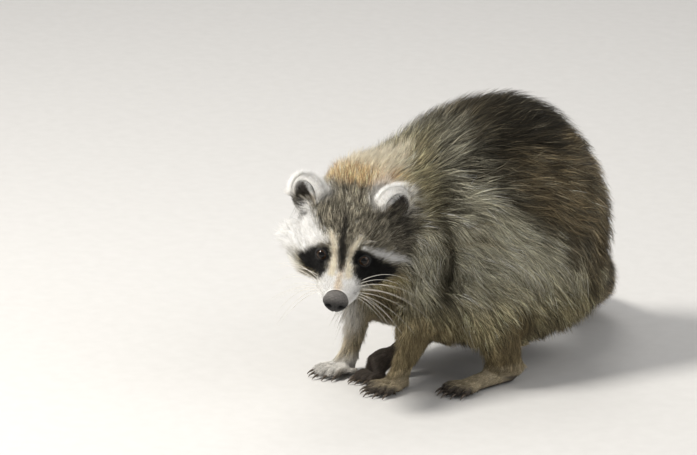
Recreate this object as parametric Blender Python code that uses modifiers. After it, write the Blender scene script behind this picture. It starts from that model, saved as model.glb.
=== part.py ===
"""A life-size raccoon that stands with its back arched, its head lowered and turned to its left.

The animal faces -Y, its left side is +X and the floor is z = 0. Sizes are in centimetres, given to the
tips of the coat, and centimetres() turns them into Blender's metres. The body is built whole from
chains of ellipsoids that are fused and smoothed, then parted into its named pieces by thin cuts.
"""

import math

import bmesh
import bpy
import numpy as np
from mathutils import Matrix, Vector

CM = 0.01
SIDES = {"left": 1, "right": -1}

# How the head is carried: turned to the left, nose down, and tipped so that its left side is lower.
HEAD_TURN, HEAD_DROP, HEAD_TIP = 47.0, 16.0, 8.0
BETWEEN_EYES = Vector((5.0, -17.8, 15.95))
EYE_SPACING, EYE_RADIUS, EYE_FRONT, EYE_DROP = 4.1, 0.75, 0.68, 0.15
NOSE_CENTRE, NOSE_RADII = Vector((0, 4.7, -2.35)), (1.22, 0.8, 0.98)

FUSE_VOXEL = 0.0026
SMOOTH_ROUNDS = 7
OUTLINE_TRIANGLES = 3240
CUT_WIDTH = 0.0004
SOCKET_GAP = 0.0003
CLAW_RADIUS, CLAW_SIDES = 0.16, 4


def clear_scene():
    for obj in list(bpy.data.objects):
        bpy.data.objects.remove(obj, do_unlink=True)


def collection(name):
    made = bpy.data.collections.new(name)
    bpy.context.scene.collection.children.link(made)
    return made


def centimetres(point):
    return Vector(point) * CM


def head_frame():
    """The head's place: x to its left, y to the nose, z to the crown, from the point between the eyes."""
    turn, drop, tip = (math.radians(a) for a in (HEAD_TURN, HEAD_DROP, HEAD_TIP))
    level = Vector((math.sin(turn), -math.cos(turn), 0))
    nose = level * math.cos(drop) - Vector((0, 0, math.sin(drop)))
    crown = level * math.sin(drop) + Vector((0, 0, math.cos(drop)))
    left = crown.cross(nose)
    side = left * math.cos(tip) - crown * math.sin(tip)
    up = crown * math.cos(tip) + left * math.sin(tip)
    return frame_of(BETWEEN_EYES, side, nose, up)


def frame_of(origin, x_axis, y_axis, z_axis):
    frame = Matrix((x_axis, y_axis, z_axis)).transposed().to_4x4()
    frame.translation = Vector(origin)
    return frame


def through(stations, steps):
    """Points of a smooth curve through the stations, with steps of them from one station to the next."""
    ends = [2 * stations[0] - stations[1], *stations, 2 * stations[-1] - stations[-2]]
    found = []
    for a, b, c, d in zip(ends, ends[1:], ends[2:], ends[3:]):
        for t in np.arange(steps) / steps:
            found.append(b + 0.5 * t * (c - a + t * (2 * a - 5 * b + 4 * c - d + t * (3 * (b - c) + d - a))))
    return [*found, stations[-1]]


def ellipsoid(shape, frame, centre, radii, detail=3):
    place = frame @ Matrix.Translation(centre) @ Matrix.Diagonal((*radii, 1))
    bmesh.ops.create_icosphere(shape, subdivisions=detail, radius=1, matrix=Matrix.Scale(CM, 4) @ place)


def chain(shape, frame, stations, steps=5):
    """Ellipsoids along a smooth path. A station is its centre, then its radii, along the frame's axes."""
    for row in through([np.array(s, float) for s in stations], steps):
        ellipsoid(shape, frame, row[:3], row[3:])


WORLD = Matrix.Identity(4)
HEAD = head_frame()


def add_trunk(shape):
    chain(shape, WORLD, [
        (0, -10.8, 16.5, 6.6, 4.4, 6.9),
        (0, -7.6, 16.2, 8.1, 3.8, 8.0),
        (0, -4.4, 16.3, 9.2, 3.8, 9.7),
        (0, 0.0, 16.9, 9.8, 5.0, 10.9),
        (0, 4.0, 17.1, 10.2, 5.2, 11.5),
        (0, 7.5, 16.6, 10.4, 5.2, 12.0),
        (0, 10.6, 15.4, 10.2, 5.4, 11.8),
        (0, 12.5, 14.0, 9.4, 5.2, 10.6),
    ])
    for sign in SIDES.values():
        chain(shape, WORLD, [
            (sign * 4.4, -6.0, 11.2, 3.8, 3.6, 6.6),
            (sign * 5.0, -1.0, 10.3, 4.4, 5.0, 7.2),
            (sign * 5.2, 4.0, 10.0, 4.6, 5.0, 7.1),
            (sign * 5.0, 9.0, 9.6, 4.6, 5.0, 6.8),
            (sign * 4.2, 12.0, 9.7, 4.4, 4.4, 6.3),
        ])
        ellipsoid(shape, WORLD, (sign * 5.9, -3.8, 13.2), (3.8, 4.2, 5.4))


def add_neck(shape):
    chain(shape, WORLD, [
        (0, -7.5, 17.4, 7.4, 4.6, 7.3),
        (0.1, -10.6, 17.9, 6.7, 4.4, 6.9),
        (0.7, -12.8, 17.9, 5.5, 4.2, 6.9),
    ])


def add_head(shape):
    ellipsoid(shape, HEAD, (0, -5.0, 0.4), (5.1, 5.4, 4.4))
    ellipsoid(shape, HEAD, (0, -1.3, 0.9), (3.3, 2.2, 1.9))
    chain(shape, HEAD, [
        (0, -1.2, -1.2, 2.9, 2.0, 2.2),
        (0, 1.2, -1.8, 2.45, 1.6, 1.9),
        (0, 2.9, -2.2, 2.25, 1.3, 1.65),
        (0, 4.1, -2.3, 1.6, 1.0, 1.25),
    ])
    chain(shape, HEAD, [
        (0, -2.0, -3.9, 2.6, 2.0, 1.5),
        (0, 1.2, -3.8, 1.7, 1.4, 1.0),
        (0, 3.4, -3.6, 1.15, 0.9, 0.75),
    ])
    for sign in SIDES.values():
        ellipsoid(shape, HEAD, (sign * 3.15, -2.9, -1.85), (2.85, 2.9, 2.75))
        chain(shape, HEAD, [
            (sign * 4.4, -4.6, -1.7, 2.2, 2.3, 2.8),
            (sign * 6.2, -5.2, -1.7, 1.2, 1.5, 1.7),
            (sign * 7.1, -5.5, -1.8, 0.5, 0.8, 0.8),
        ])


EAR_TURN, EAR_BACK = 24.0, 8.0
EAR_LEAN = {1: 9.0, -1: 16.0}
EAR_BASE = {1: (4.15, -4.5, 2.85), -1: (-4.15, -4.9, 2.6)}


def ear_frame(sign):
    """x across the ear, y out of its opening, z to its tip, from the middle of its base."""
    turned = Matrix.Rotation(math.radians(-sign * EAR_TURN), 4, "Z")
    leaned = Matrix.Rotation(math.radians(sign * EAR_LEAN[sign]), 4, "Y")
    back = Matrix.Rotation(math.radians(EAR_BACK), 4, "X")
    return HEAD @ Matrix.Translation(EAR_BASE[sign]) @ leaned @ back @ turned


def add_ears(shape):
    for sign in SIDES.values():
        chain(shape, ear_frame(sign), [
            (0, -0.1, 0.0, 2.0, 1.3, 1.4),
            (0, 0, 1.2, 2.0, 1.05, 1.5),
            (0, 0, 2.2, 1.7, 0.8, 1.4),
        ])


def hollow_ears(shape):
    for sign in SIDES.values():
        chain(shape, ear_frame(sign), [
            (0, 0.9, 0.8, 1.2, 0.85, 1.0),
            (0, 0.85, 1.8, 1.25, 0.75, 1.3),
        ])


def add_fore_leg(shape, joints):
    shoulder, elbow, forearm, wrist, heel, fringe = joints
    chain(shape, WORLD, [
        (*shoulder, 3.6, 4.4, 5.3),
        (*elbow, 2.8, 3.3, 3.4),
        (*forearm, 1.6 + 0.5 * fringe, 1.9 + 0.8 * fringe, 2.4 + 0.6 * fringe),
        (*wrist, 1.2 + 0.3 * fringe, 1.35 + 0.9 * fringe, 1.7),
        (*heel, 1.15, 1.25, 1.1),
    ])


def add_hind_leg(shape, joints):
    hip, knee, shank, hock, heel, fringe = joints
    chain(shape, WORLD, [
        (*hip, 4.4, 6.0, 7.0),
        (*knee, 2.9, 3.9, 4.0),
        (*shank, 2.2, 2.9, 2.6),
        (*hock, 1.5 + 0.4 * fringe, 1.8 + 0.7 * fringe, 1.6 + 0.6 * fringe),
        (*heel, 1.15 + 0.1 * fringe, 1.3 + 0.5 * fringe, 1.1 + 0.2 * fringe),
    ])


FORE_JOINTS = {
    "left": [(6.1, -5.7, 16), (5.6, -6.0, 11.2), (4.1, -7.8, 8.0), (3.7, -8.0, 4.9), (3.3, -9.4, 2.2), 1.0],
    "right": [(-5.9, -7.2, 16.2), (-5.5, -7.5, 11.2), (-5.1, -8.3, 7.2), (-4.9, -8.7, 4.2), (-5, -9.7, 2.0), 0.0],
}
HIND_JOINTS = {
    "left": [(6.0, 7.6, 12.6), (8.0, -1.6, 9.2), (8.2, -0.6, 5.8), (7.9, 0.3, 3.4), (8.0, 1.3, 1.6), 1.0],
    "right": [(-6.0, 7.6, 12.6), (-6.4, -1.2, 9.2), (-4.4, -2.0, 6.8), (-1.8, -2.9, 5.2), (-0.9, -3.9, 4.0), 0.0],
}

# A foot: its sizes, where its ball stands, how far it is turned, then how its heel is raised and rolled.
FORE_FOOT = {"sole": 1.5, "width": 2.5, "toe": 2.5, "thick": 0.44, "fan": 9.0}
HIND_FOOT = {"sole": 6.2, "width": 2.7, "toe": 2.4, "thick": 0.46, "fan": 8.0}
CLOSED_FOOT = {"sole": 6.2, "width": 2.3, "toe": 2.4, "thick": 0.46, "fan": 3.0}
FEET = {
    "hind_foot_right": (CLOSED_FOOT, (-1.1, -9.2, -0.15), -4, 30, 12),
    "hind_foot_left": (HIND_FOOT, (8.0, -4.6, -0.15), 4, 0, 0),
    "fore_foot_right": (FORE_FOOT, (-5.1, -11.1, -0.15), 4, 0, 0),
    "fore_foot_left": (FORE_FOOT, (3.2, -10.6, -0.15), 0, 0, 0),
}
TOES = range(5)


def toes_frame(name):
    """x to the animal's left, y to the toes, z up from the floor, from the ball of the foot."""
    _, ball, turn, _, _ = FEET[name]
    facing = Matrix.Rotation(math.radians(180 + turn), 4, "Z") @ Matrix.Diagonal((-1, 1, 1, 1))
    return Matrix.Translation(ball) @ facing


def sole_frame(name):
    """The same, tilted with the raised heel."""
    _, _, _, raised, rolled = FEET[name]
    pitch = Matrix.Rotation(math.radians(-raised), 4, "X")
    return toes_frame(name) @ pitch @ Matrix.Rotation(math.radians(-rolled), 4, "Y")


def toe_line(size, number):
    """A toe's root, knuckle and tip. The toes are numbered from one edge of the foot to the other."""
    across = (number - 2) / 2
    length = size["toe"] * (1 - 0.22 * abs(across) ** 1.5)
    angle = math.radians(across * 2 * size["fan"])
    forward = Vector((math.sin(angle), math.cos(angle), 0))
    root = Vector((across * 0.42 * size["width"], -0.3 * abs(across), 0.75))
    knuckle = root + forward * 0.5 * length + Vector((0, 0, 0.12))
    tip = root + forward * length
    tip.z = 0.42
    return root, knuckle, tip, forward


def add_foot(shape, name):
    size, sole, level = FEET[name][0], sole_frame(name), toes_frame(name)
    half, thick = size["width"] / 2, size["thick"]
    if size is CLOSED_FOOT:
        chain(shape, sole, [(0, -2.6, 1.3, 0.9, 1.1, 1.1), (0, -1.2, 1.45, 1.0, 1.1, 1.15)])
    chain(shape, sole, [
        (0, -size["sole"], 0.95, 0.72 * half, 1.0, 1.0),
        (0, -0.5 * size["sole"], 0.95, 0.82 * half, 1.0, 1.0),
        (0, -0.2, 0.72, 0.98 * half, 0.9, 0.78),
    ])
    for number in TOES:
        root, knuckle, tip, _ = toe_line(size, number)
        chain(shape, level, [
            (*root, 1.15 * thick, 1.15 * thick, 1.2 * thick),
            (*knuckle, thick, thick, 1.05 * thick),
            (*tip, 0.95 * thick, 1.1 * thick, 0.98 * thick),
        ], steps=6)


TAIL = [
    (0, 14.4, 10.2, 3.0, 3.0, 3.0),
    (-0.8, 18.0, 8.2, 2.9, 2.9, 2.9),
    (-3.0, 21.2, 5.5, 3.0, 3.0, 3.0),
    (-6.6, 23.4, 3.6, 3.1, 3.1, 3.1),
    (-11.0, 24.2, 2.9, 3.0, 3.0, 3.0),
    (-15.0, 23.6, 2.6, 2.8, 2.8, 2.8),
    (-18.2, 21.8, 1.9, 2.1, 2.1, 2.1),
    (-19.8, 20.4, 1.2, 1.2, 1.2, 1.2),
]


def mesh_object(name, shape, where):
    bmesh.ops.recalc_face_normals(shape, faces=shape.faces)
    mesh = bpy.data.meshes.new(name)
    shape.to_mesh(mesh)
    shape.free()
    made = bpy.data.objects.new(name, mesh)
    where.objects.link(made)
    return made


def apply_modifiers(obj):
    graph = bpy.context.evaluated_depsgraph_get()
    graph.update()
    fresh = bpy.data.meshes.new_from_object(obj.evaluated_get(graph))
    obj.modifiers.clear()
    old, obj.data = obj.data, fresh
    bpy.data.meshes.remove(old)


def fuse(obj):
    """One closed skin round everything in obj."""
    remesh = obj.modifiers.new("fuse", "REMESH")
    remesh.mode = "VOXEL"
    remesh.voxel_size = FUSE_VOXEL
    apply_modifiers(obj)


def smooth(obj, rounds):
    soften = obj.modifiers.new("soften", "SMOOTH")
    soften.factor = 0.5
    soften.iterations = rounds
    apply_modifiers(obj)


def cut(obj, cutter, operation="DIFFERENCE"):
    boolean = obj.modifiers.new("cut", "BOOLEAN")
    boolean.object = cutter
    boolean.operation = operation
    apply_modifiers(obj)


def helper(name, shape, where):
    """A cutter, kept as a wire outline that isn't rendered."""
    made = mesh_object(name, shape, where)
    made.display_type = "WIRE"
    made.hide_render = True
    return made


def build_body(parts, cutters):
    shape = bmesh.new()
    add_trunk(shape)
    add_neck(shape)
    add_head(shape)
    add_ears(shape)
    for side in SIDES:
        add_fore_leg(shape, FORE_JOINTS[side])
        add_hind_leg(shape, HIND_JOINTS[side])
    for name in FEET:
        add_foot(shape, name)
    chain(shape, WORLD, TAIL, steps=6)
    body = mesh_object("body", shape, parts)
    fuse(body)
    hollows = bmesh.new()
    hollow_ears(hollows)
    ear_cutter = helper("ear_hollows", hollows, cutters)
    fuse(ear_cutter)
    cut(body, ear_cutter)
    fuse(body)
    smooth(body, SMOOTH_ROUNDS)
    return body


# The coat's outline is kept finer near these: a place, its reach in centimetres and how much is lost there.
FINE_PLACES = [(HEAD @ Vector((0, 0, -1)), 6.5, 0.85)]
FINE_PLACES += [(ear_frame(sign) @ Vector((0, 0, 2)), 3.0, 0.75) for sign in SIDES.values()]
FINE_PLACES += [(Vector(foot[1]), 3.8, 0.8) for foot in FEET.values()]


def coarsen(body):
    """Lowers the triangle count, most of all away from the head and the feet."""
    group = body.vertex_groups.new(name="plain")
    for vertex in body.data.vertices:
        place = vertex.co / CM
        weight = min(max(least, (place - centre).length / reach) for centre, reach, least in FINE_PLACES)
        group.add([vertex.index], min(1.0, weight), "REPLACE")
    triangles = sum(len(face.vertices) - 2 for face in body.data.polygons)
    decimate = body.modifiers.new("coarsen", "DECIMATE")
    decimate.ratio = OUTLINE_TRIANGLES / triangles
    decimate.vertex_group = group.name
    decimate.use_collapse_triangulate = True
    apply_modifiers(body)
    body.vertex_groups.clear()


def flatten_soles(body):
    """Cuts the body level with the floor, which leaves a small flat under each foot and the tail."""
    shape = bmesh.new()
    shape.from_mesh(body.data)
    slice_off(shape, Vector((0, 0, 0)), Vector((0, 0, 1)))
    shape.to_mesh(body.data)
    shape.free()


def block(frame, low, high):
    """A box in a frame, as centre and half-sizes."""
    low, high = Vector(low), Vector(high)
    return frame, (low + high) / 2, (high - low) / 2


def cutter_pair(name, frame, centre, radii, boxy, plane, cutters):
    """A solid to keep inside of, and one a cut's width bigger to keep outside of."""
    made = []
    for suffix, extra in (("inner", 0), ("outer", CUT_WIDTH / CM)):
        shape = bmesh.new()
        place = Matrix.Translation(centre) @ Matrix.Diagonal((*(r + extra for r in radii), 1))
        place = Matrix.Scale(CM, 4) @ frame @ place
        if boxy:
            bmesh.ops.create_cube(shape, size=2, matrix=place)
        else:
            bmesh.ops.create_uvsphere(shape, u_segments=12, v_segments=8, radius=1, matrix=place)
        if plane:
            point, normal = frame @ Vector(plane[0]), frame.to_3x3() @ Vector(plane[1]).normalized()
            slice_off(shape, centimetres(point - normal * extra), normal)
        made.append(helper(f"{name}_{suffix}", shape, cutters))
    return made


def slice_off(shape, point, normal):
    """Removes what lies behind a plane and closes the cut."""
    everything = [*shape.verts, *shape.edges, *shape.faces]
    edges = bmesh.ops.bisect_plane(
        shape, geom=everything, dist=1e-6, plane_co=point, plane_no=-normal, clear_outer=True
    )["geom_cut"]
    bmesh.ops.holes_fill(shape, edges=[e for e in edges if isinstance(e, bmesh.types.BMEdge)])
    bmesh.ops.triangulate(shape, faces=[face for face in shape.faces if len(face.verts) > 3])
    bmesh.ops.recalc_face_normals(shape, faces=shape.faces)


def split_off(body, name, region, parts, cutters, boxy=False, plane=None):
    """Parts what lies within the region from body, as a piece of that name."""
    inner, outer = cutter_pair(name, *region, boxy, plane, cutters)
    piece = bpy.data.objects.new(name, body.data.copy())
    parts.objects.link(piece)
    cut(piece, inner, "INTERSECT")
    cut(body, outer)
    for obj in (piece, body):
        drop_crumbs(obj)
    return piece


def islands(shape):
    left, found = set(shape.verts), []
    while left:
        island, reached = [], [left.pop()]
        while reached:
            vertex = reached.pop()
            island.append(vertex)
            for other in (edge.other_vert(vertex) for edge in vertex.link_edges):
                if other in left:
                    left.remove(other)
                    reached.append(other)
        found.append(island)
    return sorted(found, key=len, reverse=True)


def drop_crumbs(obj):
    """Keeps an object's largest closed body."""
    shape = bmesh.new()
    shape.from_mesh(obj.data)
    found = islands(shape)
    for island in found[1:]:
        bmesh.ops.delete(shape, geom=island, context="VERTS")
    shape.to_mesh(obj.data)
    shape.free()


def part_body(body, parts, cutters):
    """Parts the body into its named pieces and returns them. What is left of it is the trunk."""
    made = []

    def part(name, source, region, **options):
        made.append(split_off(source, name, region, parts, cutters, **options))
        return made[-1]

    for name, foot in FEET.items():
        height = 2.35 if "fore" in name else 2.5
        half = 1.75 if foot[3] else 2.3
        low, high = (-half, -foot[0]["sole"] - 1.6, -1.0), (half, 4.2, height)
        part(name, body, block(sole_frame(name), low, high), boxy=True)
    for side, sign in SIDES.items():
        part(f"forearm_{side}", body, (WORLD, (sign * 4.6, -7.8, 4.6), (3.4, 4.0, 4.6)))
        part(f"upper_arm_{side}", body, (WORLD, (sign * 7.2, -6.6, 13.4), (4.9, 4.6, 6.0)))
    head = part("head", body, block(HEAD, (-9.5, -12, -5.9), (9.5, 9, 9)), boxy=True,
                plane=((0, -6.6, 0), (-0.35, 0.93, 0.12)))
    front, behind = block(WORLD, (-12, -30, 0), (12, 0, 40)), block(WORLD, (-40, 10, -5), (5, 40, 20))
    part("neck", body, front, boxy=True, plane=((0, -9.2, 19), (0, -0.9, 0.44)))
    tail = part("tail_root", body, (WORLD, (-10, 25, 4), (16.5, 8.2, 10)))
    rear = part("tail_middle", tail, behind, boxy=True, plane=((-6.0, 23.2, 3), (-0.9, 0.35, -0.2)))
    part("tail_tip", rear, behind, boxy=True, plane=((-12.6, 24, 3), (-1, 0, 0)))
    for side, sign in SIDES.items():
        ear = ear_frame(sign)
        part(f"ear_{side}", head, (ear, (0, 0.1, 2.0), (2.7, 2.0, 2.5)), plane=((0, 0, 0.7), (0, 0, 1)))
    part("shank_left", body, (WORLD, (8.4, 0.6, 4.8), (3.0, 3.6, 3.7)))
    part("shank_right", body, (WORLD, (-3.2, -2.5, 5.4), (3.4, 3.2, 3.4)))
    for side, sign in SIDES.items():
        part(f"thigh_{side}", body, (WORLD, (sign * 8.0, 2.6, 11.0), (4.6, 7.6, 5.2)))
    body.name = "trunk"
    return [*made, body]


def ball(name, radii, centre, where):
    shape = bmesh.new()
    place = Matrix.Scale(CM, 4) @ HEAD @ Matrix.Translation(centre) @ Matrix.Diagonal((*radii, 1))
    bmesh.ops.create_uvsphere(shape, u_segments=12, v_segments=8, radius=1, matrix=place)
    return mesh_object(name, shape, where)


def add_eyes_and_nose(head, parts, cutters):
    """Eyes and nose are pieces of their own, each sunk in a socket a little wider than itself."""
    made, seats = [], [("nose", NOSE_CENTRE, NOSE_RADII)]
    for side, sign in SIDES.items():
        centre = Vector((sign * EYE_SPACING / 2, EYE_FRONT - EYE_RADIUS, -EYE_DROP))
        seats.append((f"eye_{side}", centre, [EYE_RADIUS] * 3))
    for name, centre, radii in seats:
        made.append(ball(name, radii, centre, parts))
        socket = ball(f"{name}_socket", [radius + SOCKET_GAP / CM for radius in radii], centre, cutters)
        socket.display_type = "WIRE"
        socket.hide_render = True
        cut(head, socket)
    return made


def claw(shape, frame, tip, forward):
    """A hooked cone that leaves a toe's tip."""
    side = forward.cross(Vector((0, 0, 1)))
    rings = []
    for along, drop, radius in ((-0.25, 0.0, 1.0), (0.3, -0.02, 0.85), (0.65, 0.12, 0.55), (0.9, 0.36, 0.1)):
        middle = tip + forward * along + Vector((0, 0, 0.12 - drop))
        ring = []
        for corner in range(CLAW_SIDES):
            angle = math.tau * corner / CLAW_SIDES
            offset = side * math.cos(angle) + Vector((0, 0, math.sin(angle)))
            ring.append(shape.verts.new(centimetres(frame @ (middle + offset * radius * CLAW_RADIUS))))
        rings.append(ring)
    for ring, after in zip(rings, rings[1:]):
        for corner in range(CLAW_SIDES):
            follower = (corner + 1) % CLAW_SIDES
            shape.faces.new((ring[corner], ring[follower], after[follower], after[corner]))
    shape.faces.new(rings[0])
    shape.faces.new(rings[-1])


def add_claws(foot, cutters):
    shape = bmesh.new()
    for number in TOES:
        _, _, tip, forward = toe_line(FEET[foot.name][0], number)
        claw(shape, toes_frame(foot.name), tip, forward)
    cut(foot, helper(f"{foot.name}_claws", shape, cutters), "UNION")


COLOURS = {
    "trunk": (0.16, 0.14, 0.10),
    "neck": (0.36, 0.29, 0.20),
    "head": (0.32, 0.31, 0.28),
    "ear": (0.55, 0.53, 0.48),
    "upper_arm": (0.20, 0.17, 0.12),
    "forearm": (0.28, 0.23, 0.16),
    "fore_foot": (0.55, 0.52, 0.46),
    "thigh": (0.18, 0.16, 0.11),
    "shank": (0.24, 0.20, 0.14),
    "hind_foot": (0.30, 0.26, 0.20),
    "tail_root": (0.20, 0.17, 0.12),
    "tail_middle": (0.12, 0.10, 0.07),
    "tail_tip": (0.03, 0.025, 0.02),
    "eye": (0.05, 0.025, 0.012),
    "nose": (0.03, 0.028, 0.026),
}
GLOSSY = ("eye", "nose")


def give_material(piece):
    kind = piece.name.removesuffix("_left").removesuffix("_right")
    material = bpy.data.materials.new(piece.name)
    material.use_nodes = True
    shader = material.node_tree.nodes["Principled BSDF"]
    shader.inputs["Base Color"].default_value = (*COLOURS[kind], 1)
    shader.inputs["Roughness"].default_value = 0.2 if kind in GLOSSY else 0.9
    piece.data.materials.clear()
    piece.data.materials.append(material)


def stand_at_origin(pieces, cutters):
    """Moves everything so that the middle of the base of its bounding box is the origin."""
    points = np.array([vertex.co for piece in pieces for vertex in piece.data.vertices])
    low, high = points.min(0), points.max(0)
    shift = Matrix.Translation((-(low[0] + high[0]) / 2, -(low[1] + high[1]) / 2, -low[2]))
    for obj in [*pieces, *cutters.objects]:
        obj.data.transform(shift)
    return shift


def finish(piece):
    shape = bmesh.new()
    shape.from_mesh(piece.data)
    bmesh.ops.remove_doubles(shape, verts=shape.verts, dist=9e-5)
    bmesh.ops.dissolve_degenerate(shape, edges=shape.edges, dist=9e-5)
    bmesh.ops.dissolve_limit(shape, angle_limit=math.radians(1), verts=shape.verts, edges=shape.edges)
    bmesh.ops.triangulate(shape, faces=shape.faces)
    shape.to_mesh(piece.data)
    shape.free()
    piece.data.shade_flat()


clear_scene()
parts, cutters = collection("raccoon"), collection("cutters")
body = build_body(parts, cutters)
coarsen(body)
flatten_soles(body)
pieces = part_body(body, parts, cutters)
by_name = {piece.name: piece for piece in pieces}
for name in FEET:
    add_claws(by_name[name], cutters)
pieces += add_eyes_and_nose(by_name["head"], parts, cutters)
for piece in pieces:
    finish(piece)
    give_material(piece)
shift = stand_at_origin(pieces, cutters)
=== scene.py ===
import math
import bmesh
import bpy
import numpy as np
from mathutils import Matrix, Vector
from mathutils.bvhtree import BVHTree
from mathutils.kdtree import KDTree


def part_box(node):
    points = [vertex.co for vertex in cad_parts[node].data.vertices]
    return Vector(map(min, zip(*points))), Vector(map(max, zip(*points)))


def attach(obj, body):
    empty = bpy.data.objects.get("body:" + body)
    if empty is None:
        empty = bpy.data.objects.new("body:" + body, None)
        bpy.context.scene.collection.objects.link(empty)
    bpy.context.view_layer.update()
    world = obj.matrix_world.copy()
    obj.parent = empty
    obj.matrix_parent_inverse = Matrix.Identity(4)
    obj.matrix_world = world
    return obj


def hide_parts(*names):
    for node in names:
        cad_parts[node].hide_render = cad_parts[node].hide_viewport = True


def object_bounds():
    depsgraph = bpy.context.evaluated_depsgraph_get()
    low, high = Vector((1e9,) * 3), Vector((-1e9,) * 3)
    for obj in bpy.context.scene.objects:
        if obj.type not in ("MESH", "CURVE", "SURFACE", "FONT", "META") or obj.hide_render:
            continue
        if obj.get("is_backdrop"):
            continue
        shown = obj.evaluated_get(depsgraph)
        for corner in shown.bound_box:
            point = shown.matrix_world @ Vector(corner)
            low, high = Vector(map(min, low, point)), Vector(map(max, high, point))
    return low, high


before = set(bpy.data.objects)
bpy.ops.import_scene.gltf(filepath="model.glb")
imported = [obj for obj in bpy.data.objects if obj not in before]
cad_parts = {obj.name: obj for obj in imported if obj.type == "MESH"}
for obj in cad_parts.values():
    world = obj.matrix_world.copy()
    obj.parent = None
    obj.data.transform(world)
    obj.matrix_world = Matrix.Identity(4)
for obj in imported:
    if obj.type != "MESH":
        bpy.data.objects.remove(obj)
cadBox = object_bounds()

cm = 0.01
mm = 0.001
dice = np.random.default_rng(4127)
fleshNodes = [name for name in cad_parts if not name.startswith(("eye_", "nose"))]


def middleOf(node):
    low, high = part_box(node)
    return np.array((low + high) / 2)


def unit(vectors):
    return vectors / np.maximum(np.linalg.norm(vectors, axis=-1, keepdims=True), 1e-12)


def ease(value, low, high):
    share = np.clip((value - low) / (high - low), 0, 1)
    return share * share * (3 - 2 * share)


# the head's own axes come from its eyes and nose
signOf = {"left": 1, "right": -1}
eyeMiddles = {side: middleOf(f"eye_{side}") for side in signOf}
eyesMiddle = (eyeMiddles["left"] + eyeMiddles["right"]) / 2
noseMiddle = middleOf("nose")
headSide = unit(eyeMiddles["left"] - eyeMiddles["right"])      # to the animal's left
snoutLine = noseMiddle - eyesMiddle
snoutLine = unit(snoutLine - headSide * (snoutLine @ headSide))
snoutLift = np.cross(snoutLine, headSide)
snoutFall = math.atan2(2.20, 4.77)      # the nose is 2.2 cm down, 4.77 cm on
headFront = snoutLine * math.cos(snoutFall) + snoutLift * math.sin(snoutFall)
headUp = snoutLift * math.cos(snoutFall) - snoutLine * math.sin(snoutFall)
headAxes = np.array([headSide, headFront, headUp])
headOrigin = eyesMiddle + headFront * 0.07 * cm + headUp * 0.15 * cm
bodyOrigin = headOrigin - np.array((5.0, -17.8, 15.95)) * cm      # the floor under the middle of the chest


def inHead(points):
    return (points - headOrigin) @ headAxes.T / cm      # centimetres: left, forward, up


def fromHead(points):
    return headOrigin + np.asarray(points, float) @ headAxes * cm


print("head axes", np.round(headAxes, 3).tolist())


def addObject(name, data):
    made = bpy.data.objects.new(name, data)
    bpy.context.scene.collection.objects.link(made)
    return made


def meshOf(shape, name):
    mesh = bpy.data.meshes.new(name)
    shape.to_mesh(mesh)
    shape.free()
    return mesh


viewPlan = {
    "azimuth": 53.13, "elevation": 15.0, "distance": 5.0, "frameWidth": 0.697,
    "aim": (-0.0024, 0.0084, 0.0275),      # from between the eyes to the middle of the frame
}


def towards(azimuth, elevation):
    turn, rise = math.radians(azimuth), math.radians(elevation)
    return Vector((math.sin(turn) * math.cos(rise), -math.cos(turn) * math.cos(rise), math.sin(rise)))


def addCamera():
    lens = bpy.data.cameras.new("view")
    lens.lens = lens.sensor_width * viewPlan["distance"] / viewPlan["frameWidth"]
    lens.clip_end = 60
    camera = addObject("view", lens)
    out = towards(viewPlan["azimuth"], viewPlan["elevation"])
    camera.location = Vector(headOrigin) + Vector(viewPlan["aim"]) + out * viewPlan["distance"]
    camera.rotation_euler = out.to_track_quat("Z", "Y").to_euler()
    bpy.context.scene.camera = camera


lightPlan = {      # azimuth, elevation, distance, size, power and tint of each lamp
    "key": (-14, 50, 2.6, 0.7, 76, (1, 0.97, 0.92)),
    "fill": (118, 34, 3.0, 2.4, 22, (1, 0.985, 0.96)),
    "back": (236, 52, 2.8, 1.6, 18, (1, 0.98, 0.95)),
}
skyPlan = {"strength": 0.42, "tint": (0.98, 0.98, 1, 1)}
lampAim = Vector((0, 0, 0.12))


def addLights():
    for name, (azimuth, elevation, distance, size, power, tint) in lightPlan.items():
        lamp = bpy.data.lights.new(name, "AREA")
        lamp.shape = "DISK"
        lamp.size = size
        lamp.energy = power
        lamp.color = tint
        holder = addObject(name, lamp)
        out = towards(azimuth, elevation)
        holder.location = lampAim + out * distance
        holder.rotation_euler = out.to_track_quat("Z", "Y").to_euler()
    world = bpy.data.worlds.new("studio")
    world.use_nodes = True
    sky = world.node_tree.nodes["Background"]
    sky.inputs["Color"].default_value = skyPlan["tint"]
    sky.inputs["Strength"].default_value = skyPlan["strength"]
    bpy.context.scene.world = world
    bpy.context.scene.view_settings.view_transform = "Standard"


def shaderOf(material):
    return material.node_tree.nodes["Principled BSDF"]


def newMaterial(name, roughness):
    material = bpy.data.materials.new(name)
    material.use_nodes = True
    shaderOf(material).inputs["Roughness"].default_value = roughness
    return material


def addNode(material, kind, **sockets):
    node = material.node_tree.nodes.new(kind)
    for name, value in sockets.items():
        node.inputs[name.replace("_", " ")].default_value = value
    return node


def addGrain(material, kind, output, **sockets):      # a texture that stays with the piece
    grain = addNode(material, kind, **sockets)
    place = addNode(material, "ShaderNodeTexCoord")
    material.node_tree.links.new(place.outputs["Object"], grain.inputs["Vector"])
    return grain.outputs[output]


def spread(material, value, **sockets):
    ramp = addNode(material, "ShaderNodeMapRange", **sockets)
    material.node_tree.links.new(value, ramp.inputs["Value"])
    return ramp.outputs["Result"]


def addBump(material, height, strength, distance):
    bump = addNode(material, "ShaderNodeBump", Strength=strength, Distance=distance)
    material.node_tree.links.new(height, bump.inputs["Height"])
    material.node_tree.links.new(bump.outputs["Normal"], shaderOf(material).inputs["Normal"])


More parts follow.
